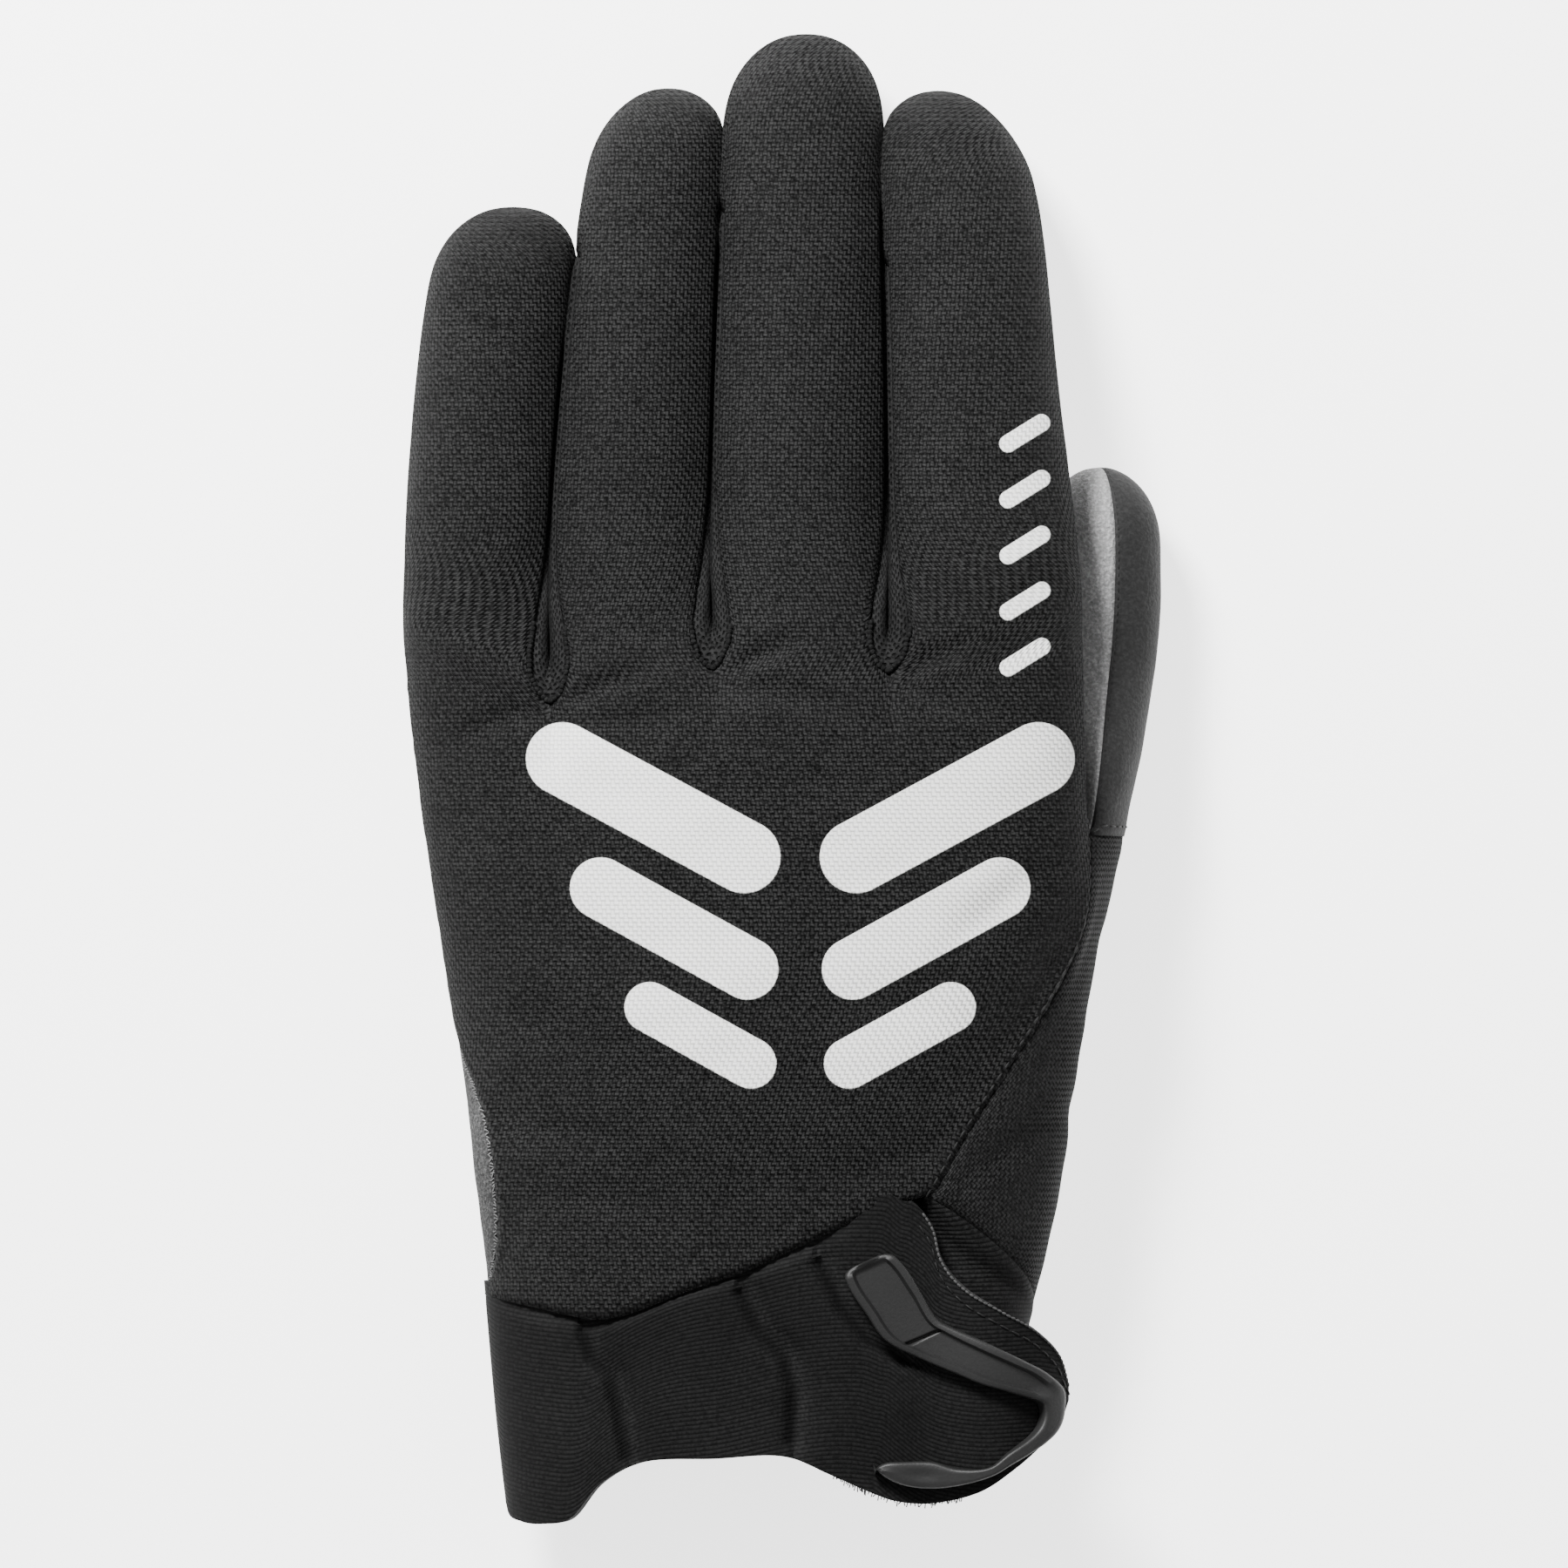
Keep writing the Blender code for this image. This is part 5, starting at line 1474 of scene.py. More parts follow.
MESH_STYLE = PanelStyle(Finishes.MESH, "finger_mesh", 0.8, SeamEdge(-0.5, 0.9), 0.15)
STYLES: dict[Panel, PanelStyle] = {
    Panel.BACK: PanelStyle(Finishes.BACK, "back_fabric", 1.0, SeamEdge(-0.25, 0.8, 0.2), 0.35),
    Panel.PALM: PanelStyle(Finishes.PALM, "palm_suede", 1.3, SeamEdge(-0.15, 1.0, 0.05), 0.3),
    Panel.THUMB_BACK: PanelStyle(Finishes.OVERLAY, "thumb_overlay", 1.1, SeamEdge(0.0, 0.7, 0.05), 0.2),
    Panel.THUMB_FRONT: PanelStyle(Finishes.THUMB, "thumb_suede", 1.2, SeamEdge(0.0, 0.9), 0.3),
    Panel.GUSSET: PanelStyle(Finishes.STRETCH, "stretch_fabric", 1.1, SeamEdge(-0.2, 1.0, 0.05), 0.35),
    Panel.CUFF: PanelStyle(Finishes.CUFF, "ribbed_neoprene", 1.9, SeamEdge(-0.2, 1.0, 0.05), 0.2),
} | dict.fromkeys(FOURCHETTES, MESH_STYLE)


@dataclass(frozen=True)
class SewnLine:
    """A line of stitches along the seam of two panels, lying on the first, in millimetres from the seam."""

    on: Panel
    along: Panel
    inset: float
    finish: Finish = Finishes.THREAD
    below: float = 1000.0  # the line stays under this y


SEWN_LINES = (
    SewnLine(Panel.BACK, Panel.GUSSET, 0.9),
    SewnLine(Panel.PALM, Panel.THUMB_FRONT, 1.5, Finishes.PALE_THREAD),
    SewnLine(Panel.THUMB_BACK, Panel.GUSSET, 1.4),
    SewnLine(Panel.CUFF, Panel.PALM, 1.6),
)
FINE_LINES = (SewnLine(Panel.THUMB_BACK, Panel.THUMB_FRONT, 0.5),)
SLIT_LINES = tuple(SewnLine(Panel.BACK, web, 0.2, Finishes.KNOTS, below=23.0) for web in FOURCHETTES)


@dataclass
class ThreadWork:
    """Turns lines into pieces of thread, with one geometry-nodes tree."""

    inputs: ClassVar[tuple[str, ...]] = ("Pitch", "Length", "Radius")
    unevenness: ClassVar[float] = 1500.0  # how fast the jitter changes, per metre

    pitch: float
    length: float
    radius: float
    jitter: float = 0.0

    def shape(self, tree: Tree, source: bpy.types.Node) -> Socket:
        """Adds the nodes that lay a bead of thread at each point of the resampled lines.

        Args:
            tree: the node tree.
            source: its group input.

        Returns:
            The geometry.
        """
        lines, sizes = source.outputs["Geometry"], source.outputs
        spacing = {"Curve": lines, "Length": sizes["Pitch"]}
        even = add_node(tree, "GeometryNodeResampleCurve", spacing, mode="LENGTH")
        tangent = add_node(tree, "GeometryNodeInputTangent").outputs[0]
        turned = add_node(tree, "FunctionNodeAlignRotationToVector", {"Vector": tangent}, axis="X")
        half = maths(tree, "MULTIPLY", sizes["Length"], 0.5)
        size = add_node(tree, "ShaderNodeCombineXYZ", {0: half, 1: sizes["Radius"], 2: sizes["Radius"]})
        ball = add_node(tree, "GeometryNodeMeshUVSphere", {"Segments": 8, "Rings": 5, "Radius": 1.0})
        upright = {"Geometry": ball.outputs["Mesh"], "Rotation": (0.0, math.pi / 2, 0.0)}
        bead = add_node(tree, "GeometryNodeTransform", upright).outputs[0]
        placed = add_node(tree, "GeometryNodeInstanceOnPoints", {
            "Points": even.outputs[0],
            "Instance": bead,
            "Rotation": turned.outputs[0],
            "Scale": size.outputs[0],
        })
        real = add_node(tree, "GeometryNodeRealizeInstances", {0: placed.outputs[0]})
        return add_node(tree, "GeometryNodeSetShadeSmooth", {"Geometry": real.outputs[0]}).outputs[0]

    def lay(self, name: str, lines: Iterable[Sequence[Vector]], finish: Finish, slot: str) -> None:
        """Makes one piece of thread along the lines.

        Args:
            name: the piece's name.
            lines: each line's points, on the cloth. A line with fewer than three is left out.
            finish: the thread's material.
            slot: the record's material slot.
        """
        curve = bpy.data.curves.new(name, "CURVE")
        curve.dimensions = "3D"
        for line in lines:
            if len(line) > 2:
                spline = curve.splines.new("POLY")
                spline.points.add(len(line) - 1)
                moved = [point + noise.noise_vector(point * self.unevenness) * self.jitter for point in line]
                spline.points.foreach_set("co", [c for point in moved for c in (*point, 1.0)])
        path = bpy.data.objects.new(name + "_path", curve)
        bpy.context.scene.collection.objects.link(path)
        tree = bpy.data.node_groups.new(f"thread_{finish.name}", "GeometryNodeTree")
        tree.interface.new_socket("Geometry", in_out="INPUT", socket_type="NodeSocketGeometry")
        for size in self.inputs:
            tree.interface.new_socket(size, in_out="INPUT", socket_type="NodeSocketFloat")
        tree.interface.new_socket("Geometry", in_out="OUTPUT", socket_type="NodeSocketGeometry")
        shape = self.shape(tree, add_node(tree, "NodeGroupInput"))
        dress = {"Geometry": shape, "Material": Finishes.get(finish)}
        dressed = add_node(tree, "GeometryNodeSetMaterial", dress)
        add_node(tree, "NodeGroupOutput", {0: dressed.outputs[0]})
        modifier = path.modifiers.new("thread", "NODES")
        modifier.node_group = tree
        for item in tree.interface.items_tree:
            if item.name in self.inputs:
                modifier[item.identifier] = getattr(self, item.name.lower())
        graph = bpy.context.evaluated_depsgraph_get()
        mesh = bpy.data.meshes.new_from_object(path.evaluated_get(graph), depsgraph=graph)
        bpy.data.objects.remove(path, do_unlink=True)
        hand_over(new_object(name, mesh, finish), slot)


@dataclass
class Fray(ThreadWork):
    """Lays the loose fibres of a cut edge, each a thin curled tube."""

    inputs: ClassVar[tuple[str, ...]] = ("Radius",)

    seed: int = 5
    curl: float = 0.12 * MM

    def shape(self, tree: Tree, source: bpy.types.Node) -> Socket:
        """Adds the nodes that turn each short line into a tube.

        Args:
            tree: the node tree.
            source: its group input.

        Returns:
            The geometry.
        """
        round_sizes = {"Resolution": 4, "Radius": source.outputs["Radius"]}
        ring = add_node(tree, "GeometryNodeCurvePrimitiveCircle", round_sizes).outputs["Curve"]
        swept = {"Curve": source.outputs["Geometry"], "Profile Curve": ring, "Fill Caps": True}
        tube = add_node(tree, "GeometryNodeCurveToMesh", swept)
        return add_node(tree, "GeometryNodeRealizeInstances", {0: tube.outputs[0]}).outputs[0]

    def fibres(self, edge: Sequence[Vector], outward: Vector) -> Grid:
        """Draws the fibres along a cut edge.

        Args:
            edge: the edge's points.
            outward: the way that the fibres mostly point.

        Returns:
            Each fibre's points.
        """
        chance = np.random.default_rng(self.seed)
        drawn = []
        for a, b in zip(edge, edge[1:]):
            for step in range(max(round((b - a).length / self.pitch), 1)):
                root = a.lerp(b, step * self.pitch / max((b - a).length, 1e-9))
                turn = Vector((chance.normal(0, 0.35), chance.normal(0, 0.8), chance.uniform(0.05, 0.3)))
                way = (outward + turn).normalized() * self.length * chance.uniform(0.4, 1.1)
                drawn.append([root - way * 0.3, root + way * 0.5 + Vector((0, 0, self.curl)), root + way])
        return drawn


@dataclass
class PanelCutter:
    """Cuts the smoothed skin into panels and finishes each."""

    skin: Skin
    level: int = 2
    base: float = 0.0
    high: float = 11 * MM  # the cloth above this is the glove's upper side
    flat: float = 2 * MM  # the cloth below this lies on the floor
    rough_below: float = 26 * MM  # the back's edges are rough up to this y, at the slits
    rough_height: float = 0.4 * MM
    rough_reach: float = 0.8
    calm_reach: float = 4.0  # how far from a seam, in millimetres, the cloth starts to rumple
    frayed: tuple[float, float] = (-75 * MM, -38 * MM)  # the ys between which the palm's edge is frayed
    shortest: int = 5  # the fewest points that a line is made of
    trees: dict[Panel, BVHTree] = field(default_factory=dict)

    def smooth_skin(self) -> bpy.types.Mesh:
        """Subdivides the skin and sets it on the floor.

        Returns:
            The mesh.
        """
        mesh = bpy.data.meshes.new("skin")
        self.skin.mesh.to_mesh(mesh)
        obj = new_object("skin", mesh, *(STYLES[panel].finish for panel in PANELS))
        modifier = obj.modifiers.new("smooth", "SUBSURF")
        modifier.levels = modifier.render_levels = self.level
        modifier.uv_smooth = "PRESERVE_BOUNDARIES"
        mesh = baked(obj).data
        self.base = min(vert.co.z for vert in mesh.vertices)
        for vert in mesh.vertices:
            vert.co.z -= self.base
        bpy.data.objects.remove(obj, do_unlink=True)
        return mesh

    def cut(self) -> bmesh.types.BMesh:
        """Makes every panel's piece.

        Returns:
            The whole skin, for the seams to be read from.
        """
        mesh = self.smooth_skin()
        whole = bmesh.new()
        whole.from_mesh(mesh)
        whole.normal_update()
        for panel in PANELS:
            self.finish_panel(whole, panel)
        return whole

    def finish_panel(self, whole: bmesh.types.BMesh, panel: Panel) -> None:
        """Makes one panel's piece from its faces of the skin.

        Args:
            whole: the whole skin.
            panel: the panel.
        """
        style = STYLES[panel]
        number = PANELS.index(panel)
        faces = [face for face in whole.faces if face.material_index == number]
        edges = [edge for edge in dict.fromkeys(edge for face in faces for edge in face.edges)
                 if len(edge.link_faces) == 1 or any(f.material_index != number for f in edge.link_faces)]
        shares = (0.0, 0.33, 0.67)
        seam = KDTree(len(shares) * len(edges))
        for i, edge in enumerate(edges):
            for share in shares:
                seam.insert(edge.verts[0].co.lerp(edge.verts[1].co, share), i)
        seam.balance()
        cloth = whole.loops.layers.uv.verify()
        piece = bmesh.new()
        piece_cloth = piece.loops.layers.uv.new(CLOTH_MAP)
        made = {}
        for vert in dict.fromkeys(vert for face in faces for vert in face.verts):
            away = seam.find(vert.co)[2] / MM
            made[vert] = piece.verts.new(vert.co + vert.normal * self.relief(vert.co, away, style, panel))
        for face in faces:
            copy = piece.faces.new([made[vert] for vert in face.verts])
            copy.smooth = True
            for loop, old in zip(copy.loops, face.loops):
                loop[piece_cloth].uv = old[cloth].uv
        piece.normal_update()
        self.trees[panel] = BVHTree.FromBMesh(piece)
        obj = new_object(panel.value + "_cloth", mesh_of(panel.value, piece), style.finish)
        wall = obj.modifiers.new("wall", "SOLIDIFY")
        wall.thickness = style.wall * MM
        wall.offset = -1.0
        wall.use_rim = True
        baked(obj)
        hand_over(obj, style.slot, panel.value)

    def relief(self, place: Vector, away: float, style: PanelStyle, panel: Panel) -> float:
        """Works out how far the cloth stands off the plain skin here.

        Args:
            place: the point on the skin.
            away: its distance from the panel's edge, in millimetres.
            style: the panel's style.
            panel: the panel.

        Returns:
            The height off the skin, in metres.
        """
        calm = smooth(away / self.calm_reach)
        spot = place / MM
        rumple = noise.noise(Vector((spot.x / 17, spot.y / 9, spot.z / 14 + 3.0)))
        rumple += 0.5 * noise.noise(Vector((spot.x / 7, spot.y / 4.5, spot.z / 7 + 9.0)))
        off = style.edge.height(away) * MM + rumple * style.billow * MM * calm
        if place.z > self.high and panel in (Panel.BACK, Panel.GUSSET, Panel.CUFF):
            off -= sum(crease.drop(place) for crease in CREASES) * calm
        if place.z > self.high and panel is Panel.BACK and place.y < self.rough_below:
            off += noise.noise(spot * 1.3) * self.rough_height * bell(away / self.rough_reach)
        return off if place.z > self.flat else min(off, 0.0)

    def seam_chains(self, whole: bmesh.types.BMesh, on: Panel, along: Panel) -> list[list[SkinPoint]]:
        """Works out the runs of skin points where two panels meet.

        Args:
            whole: the whole skin.
            on: one panel.
            along: the other panel.

        Returns:
            Each run's points, in order.
        """
        a, b = PANELS.index(on), PANELS.index(along)
        links: dict[SkinPoint, list[SkinPoint]] = {}
        for edge in whole.edges:
            if len(edge.link_faces) == 2 and {face.material_index for face in edge.link_faces} == {a, b}:
                links.setdefault(edge.verts[0], []).append(edge.verts[1])
                links.setdefault(edge.verts[1], []).append(edge.verts[0])
        chains, used = [], set()
        for start in sorted(links, key=lambda vert: (len(links[vert]) != 1, vert.index)):
            if start in used:
                continue
            chain, here = [start], start
            used.add(start)
            while True:
                onward = [vert for vert in links[here] if vert not in used]
                if not onward:
                    break
                here = onward[0]
                used.add(here)
                chain.append(here)
            chains.append(chain)
        return chains

    def stitch_lines(self, whole: bmesh.types.BMesh, sewn: SewnLine, radius: float) -> list[list[Vector]]:
        """Works out the lines of one row of stitches, on the finished cloth.

        Args:
            whole: the whole skin.
            sewn: where the row lies.
            radius: the thread's radius.

        Returns:
            Each line's points.
        """
        number = PANELS.index(sewn.on)
        lines = []
        for chain in self.seam_chains(whole, sewn.on, sewn.along):
            line = []
            for vert in chain:
                own = [face for face in vert.link_faces if face.material_index == number]
                inner = [face.calc_center_median() for face in own]
                if not inner or vert.co.y > sewn.below * MM:
                    continue
                towards = sum(inner, Vector()) / len(inner) - vert.co
                towards -= vert.normal * towards.dot(vert.normal)
                found = self.trees[sewn.on].find_nearest(vert.co + towards.normalized() * sewn.inset * MM)
                if found[0] is not None:
                    point = found[0] + found[1] * radius * 0.35
                    point.z = max(point.z, radius * 1.2)
                    line.append(point)
            if len(line) >= self.shortest:
                for _ in range(2):
                    inside = [(a + b * 2 + c) / 4 for a, b, c in zip(line, line[1:], line[2:])]
                    line = [line[0], *inside, line[-1]]
                lines.append(line)
        return lines

    def sew(self, whole: bmesh.types.BMesh, maker: ThreadWork, lines: Iterable[SewnLine], kind: str) -> None:
        """Sews some lines of stitches, as one piece for each panel.

        Args:
            whole: the whole skin.
            maker: makes the stitches.
            lines: the lines.
            kind: the end of each piece's name.
        """
        grouped: dict[tuple[Panel, Finish], list[list[Vector]]] = {}
        for sewn in lines:
            group = grouped.setdefault((sewn.on, sewn.finish), [])
            group.extend(self.stitch_lines(whole, sewn, maker.radius))
        for (panel, finish), lines in grouped.items():
            maker.lay(f"{panel.value}_{kind}", lines, finish, STYLES[panel].slot)

    def fray_palm_edge(self, whole: bmesh.types.BMesh, maker: Fray) -> None:
        """Frays the cut edge of the palm's suede where it wraps on to the back beside the little finger.

        Args:
            whole: the whole skin.
            maker: makes the fibres.
        """
        for chain in self.seam_chains(whole, Panel.BACK, Panel.PALM):
            edge = []
            for vert in chain:
                if self.frayed[0] < vert.co.y < self.frayed[1] and vert.co.x < 0:
                    edge.append(self.trees[Panel.PALM].find_nearest(vert.co)[0] + vert.normal * 0.05 * MM)
            if len(edge) > self.shortest:
                fibres = maker.fibres(edge, Vector((1.0, 0.0, 0.2)))
                maker.lay("palm_edge_fibres", fibres, Finishes.FIBRE, "palm_suede")


@dataclass
class ClosureStrap:
    """The wrist strap, an embossed laminate with a rounded free end."""

    form: HandForm
    base: float
    wall: float = 1.9 * MM
    tuck: float = 2.0 * MM  # how far its upper edge runs under the back panel
    columns: int = 260
    rows: int = 84
    seam_end: float = 0.165
    groove_depth: float = 1.25 * MM
    steep_width: float = 0.9 * MM
    slow_width: float = 2.4 * MM
    crowding: float = 0.75
    hem_depth: float = 0.9 * MM  # how far the tucked edge is pressed down
    rumple: float = 0.25 * MM
    # the painted shade in the grooves, and the painted highlight on the rise beyond them
    painted_shade_width: float = 0.5 * MM
    painted_highlight_place: float = 1.5 * MM
    painted_highlight_width: float = 0.7 * MM
    hooks: tuple[float, float] = (7 * MM, 26 * MM)  # the xs between which the hook tape shows
    hook_drop: float = 1.2 * MM
    plan: Table = Table(
        "along top_across top_up low_across low_up",
        (0.0, -0.393, 0.1585, -0.364, 0.018), (0.02, -0.38, 0.1555, -0.36, 0.01),
        (0.06, -0.35, 0.15, -0.343, 0.0048), (0.12, -0.295, 0.143, -0.312, 0.0035),
        (0.18, -0.24, 0.1395, -0.278, 0.0075), (0.24, -0.185, 0.1465, -0.24, 0.03),
        (0.31, -0.115, 0.1595, -0.183, 0.045), (0.39, -0.044, 0.173, -0.09, 0.0475),
        (0.48, 0.036, 0.192, 0.002, 0.049), (0.56, 0.116, 0.211, 0.064, 0.0365),
        (0.63, 0.172, 0.2185, 0.12, 0.024), (0.66, 0.193, 0.205, 0.142, 0.02),
        (0.71, 0.206, 0.182, 0.185, 0.0175), (0.78, 0.237, 0.1615, 0.254, 0.0245),
        (0.85, 0.288, 0.146, 0.305, 0.041), (0.91, 0.334, 0.1325, 0.34, 0.0565),
        (0.96, 0.364, 0.1155, 0.362, 0.068), (1.0, 0.3752, 0.096, 0.3752, 0.086),
    )
    grooves: tuple[tuple[tuple[float, float], ...], ...] = (
        ((-0.262, 0.132), (-0.251, 0.114), (-0.226, 0.101), (-0.215, 0.077), (-0.204, 0.048)),
        ((-0.054, 0.158), (-0.033, 0.135), (0.003, 0.114), (0.014, 0.092), (0.011, 0.059)),
        ((0.049, 0.178), (0.077, 0.149), (0.113, 0.126), (0.158, 0.113)),
    )

    def along_of(self, t: float) -> float:
        """Returns the table's share at share t of the columns, which crowd together at both ends."""
        return t - self.crowding * math.sin(2 * math.pi * t) / (2 * math.pi)

    def plan_point(self, t: float, part: float, tuck: float = 0.0) -> tuple[float, float]:
        """Works out the x and y of a point of the strap.

        Args:
            t: the share along the strap.
            part: the share from its lower to its upper edge.
            tuck: how far the upper edge runs under the back panel.

        Returns:
            The x and y.
        """
        form = self.form
        along = self.along_of(t)
        across, up = self.plan.at("top_across", along), self.plan.at("top_up", along)
        if across < self.seam_end:
            up = form.back_hem.at("up", across)
            tuck *= smooth((self.seam_end - across) / 0.03)
        else:
            tuck = 0.0
        x = mix(self.plan.at("low_across", along), across, part) * form.width
        y = mix(form.y_of(self.plan.at("low_up", along)), form.y_of(up) + tuck, part)
        return (form.left_x(y) + 0.3 * MM if t == 0 else x), y

    def nearest_groove(self, x: float, y: float) -> tuple[float, bool]:
        """Works out the distance to the nearest embossed groove, and whether this is its little-finger side.

        Args:
            x: where across the glove.
            y: where along the glove.

        Returns:
            The distance, and whether it is that side.
        """
        nearest = 1.0
        right = True
        spot = Vector((x, y))
        for groove in self.grooves:
            points = [Vector((across * self.form.width, self.form.y_of(up))) for across, up in groove]
            for a, b in zip(points, points[1:]):
                run = b - a
                share = clamped((spot - a).dot(run) / run.length_squared)
                away = spot - a - run * share
                if away.length < nearest:
                    nearest = away.length
                    right = run.x * away.y - run.y * away.x > 0
        return nearest, not right

    def groove_drop(self, x: float, y: float) -> float:
        """Returns how deep the grooves are here: steep on their little-finger side, slow on the other."""
        away, steep = self.nearest_groove(x, y)
        return self.groove_depth * bell(away / (self.steep_width if steep else self.slow_width))

    def painted_groove_light(self, x: float, y: float) -> float:
        """Works out the knit's painted light: painted shade in a groove, and a painted highlight on the rise
        beyond it.

        Args:
            x: where across the glove.
            y: where along the glove.

        Returns:
            The tone, which is 1 on the plain knit.
        """
        away, steep = self.nearest_groove(x, y)
        # painted shade in the groove, and a painted highlight on its slow side
        dark = bell(away / self.painted_shade_width)
        light = 0.0 if steep else bell((away - self.painted_highlight_place) / self.painted_highlight_width)
        return 1 - 0.85 * dark + 0.9 * light

    def height(self, x: float, y: float) -> float:
        """Returns the height of the strap's face above the floor."""
        return self.form.strap_height(x, y) - self.base

    def off_face(self, x: float, y: float, height: float) -> Vector:
        """Works out the point at a height off the strap's plain face.

        Args:
            x: where across the glove.
            y: where along the glove.
            height: the height off the face.

        Returns:
            The point.
        """
        step = 0.2 * MM
        here = self.height(x, y)
        slope = Vector((here - self.height(x - step, y), here - self.height(x, y - step))) / step
        return Vector((x, y, here)) + Vector((-slope.x, -slope.y, 1)).normalized() * height

    def point(self, t: float, part: float) -> Vector:
        """Works out a point of the strap's outer face.

        Args:
            t: the share along the strap.
            part: the share from its lower to its upper edge.

        Returns:
            The point.
        """
        x, y = self.plan_point(t, part, self.tuck)
        hem = smooth((part - 0.86) / 0.08) * smooth((0.55 - t) / 0.08) * self.hem_depth
        spot = Vector((x / MM / 12, y / MM / 8, 5.0))
        z = self.height(x, y) - self.groove_drop(x, y) - hem + noise.noise(spot) * self.rumple
        return Vector((x, y, z))

    def build(self) -> bpy.types.Object:
        """Makes the strap's piece.

        Returns:
            The piece.
        """
        mesh = bmesh.new()
        cloth = mesh.loops.layers.uv.new(CLOTH_MAP)
        shade = mesh.verts.layers.float.new(PAINTED_LIGHT_MAP)
        places = [[(t, part) for t in spread(0.0, 1.0, self.columns)] for part in spread(0.0, 1.0, self.rows)]
        made = [[mesh.verts.new(self.point(*place)) for place in row] for row in places]
        # each point's painted shade in the grooves and painted highlight beside them
        for row, row_places in zip(made, places):
            for vert, (t, part) in zip(row, row_places):
                vert[shade] = self.painted_groove_light(*self.plan_point(t, part, self.tuck))
        under = []
        for row in places:
            plans = [self.plan_point(t, part, self.tuck) for t, part in row]
            under.append([mesh.verts.new(self.off_face(x, y, -self.wall)) for x, y in plans])
            for vert in under[-1]:
                vert[shade] = 1.0
        ends = [(Vector(self.plan_point(t, 1.0)), Vector(self.plan_point(t, 0.0))) for t, _ in places[0]]
        widths = [(top - low).length for top, low in ends]
        for grid, turn in ((made, 1), (under, -1)):
            for r in range(self.rows):
                for c in range(self.columns):
                    corners = [(r, c), (r, c + 1), (r + 1, c + 1), (r + 1, c)][::turn]
                    face = mesh.faces.new([grid[i][j] for i, j in corners])
                    face.smooth = True
                    for loop, (i, j) in zip(face.loops, corners):
                        loop[cloth].uv = (grid[i][j].co.x / MM, (places[i][j][1] - 0.5) * widths[j] / MM)
        for top, low in ((made[0], under[0]), (made[-1][::-1], under[-1][::-1]),
                         ([row[-1] for row in made], [row[-1] for row in under]),
                         ([row[0] for row in made[::-1]], [row[0] for row in under[::-1]])):
            for i in range(len(top) - 1):
                mesh.faces.new([low[i], low[i + 1], top[i + 1], top[i]]).material_index = 1
        bmesh.ops.remove_doubles(mesh, verts=mesh.verts, dist=0.01 * MM)
        name = "closure_strap_laminate"
        obj = new_object(name, mesh_of(name, mesh), Finishes.STRAP, Finishes.EDGE)
        edge = obj.modifiers.new("edge", "BEVEL")
        edge.width = 0.4 * MM
        edge.segments = 3
        edge.limit_method = "ANGLE"
        edge.angle_limit = math.radians(50)
        return baked(obj)

    def stitch_rows(self, inset: float) -> list[list[Vector]]:
        """Works out the line at an inset inside the strap's free upper edge, round to its free end.

        Args:
            inset: how far inside the edge.

        Returns:
            The line's points, as a list of one line.
        """
        top = []
        for t in spread(0.5, 0.985, 90):
            a, b = Vector(self.plan_point(t, 0.0)), Vector(self.plan_point(t, 1.0))
            share = inset / max((b - a).length, 2.2 * inset)
            if self.plan.at("top_across", self.along_of(t)) > self.seam_end + 0.02:
                top.append((t, 1 - share))
        return [[self.point(t, part) + Vector((0, 0, 0.08 * MM)) for t, part in top]]

    def hook_edge(self) -> list[Vector]:
        """Returns the part of the strap's lower edge where the hook tape shows."""
        edge = [self.plan_point(t, 0.0) for t in spread(0.5, 0.9, 120)]
        start, end = self.hooks
        return [Vector((x, y, self.height(x, y) - self.hook_drop)) for x, y in edge if start < x < end]


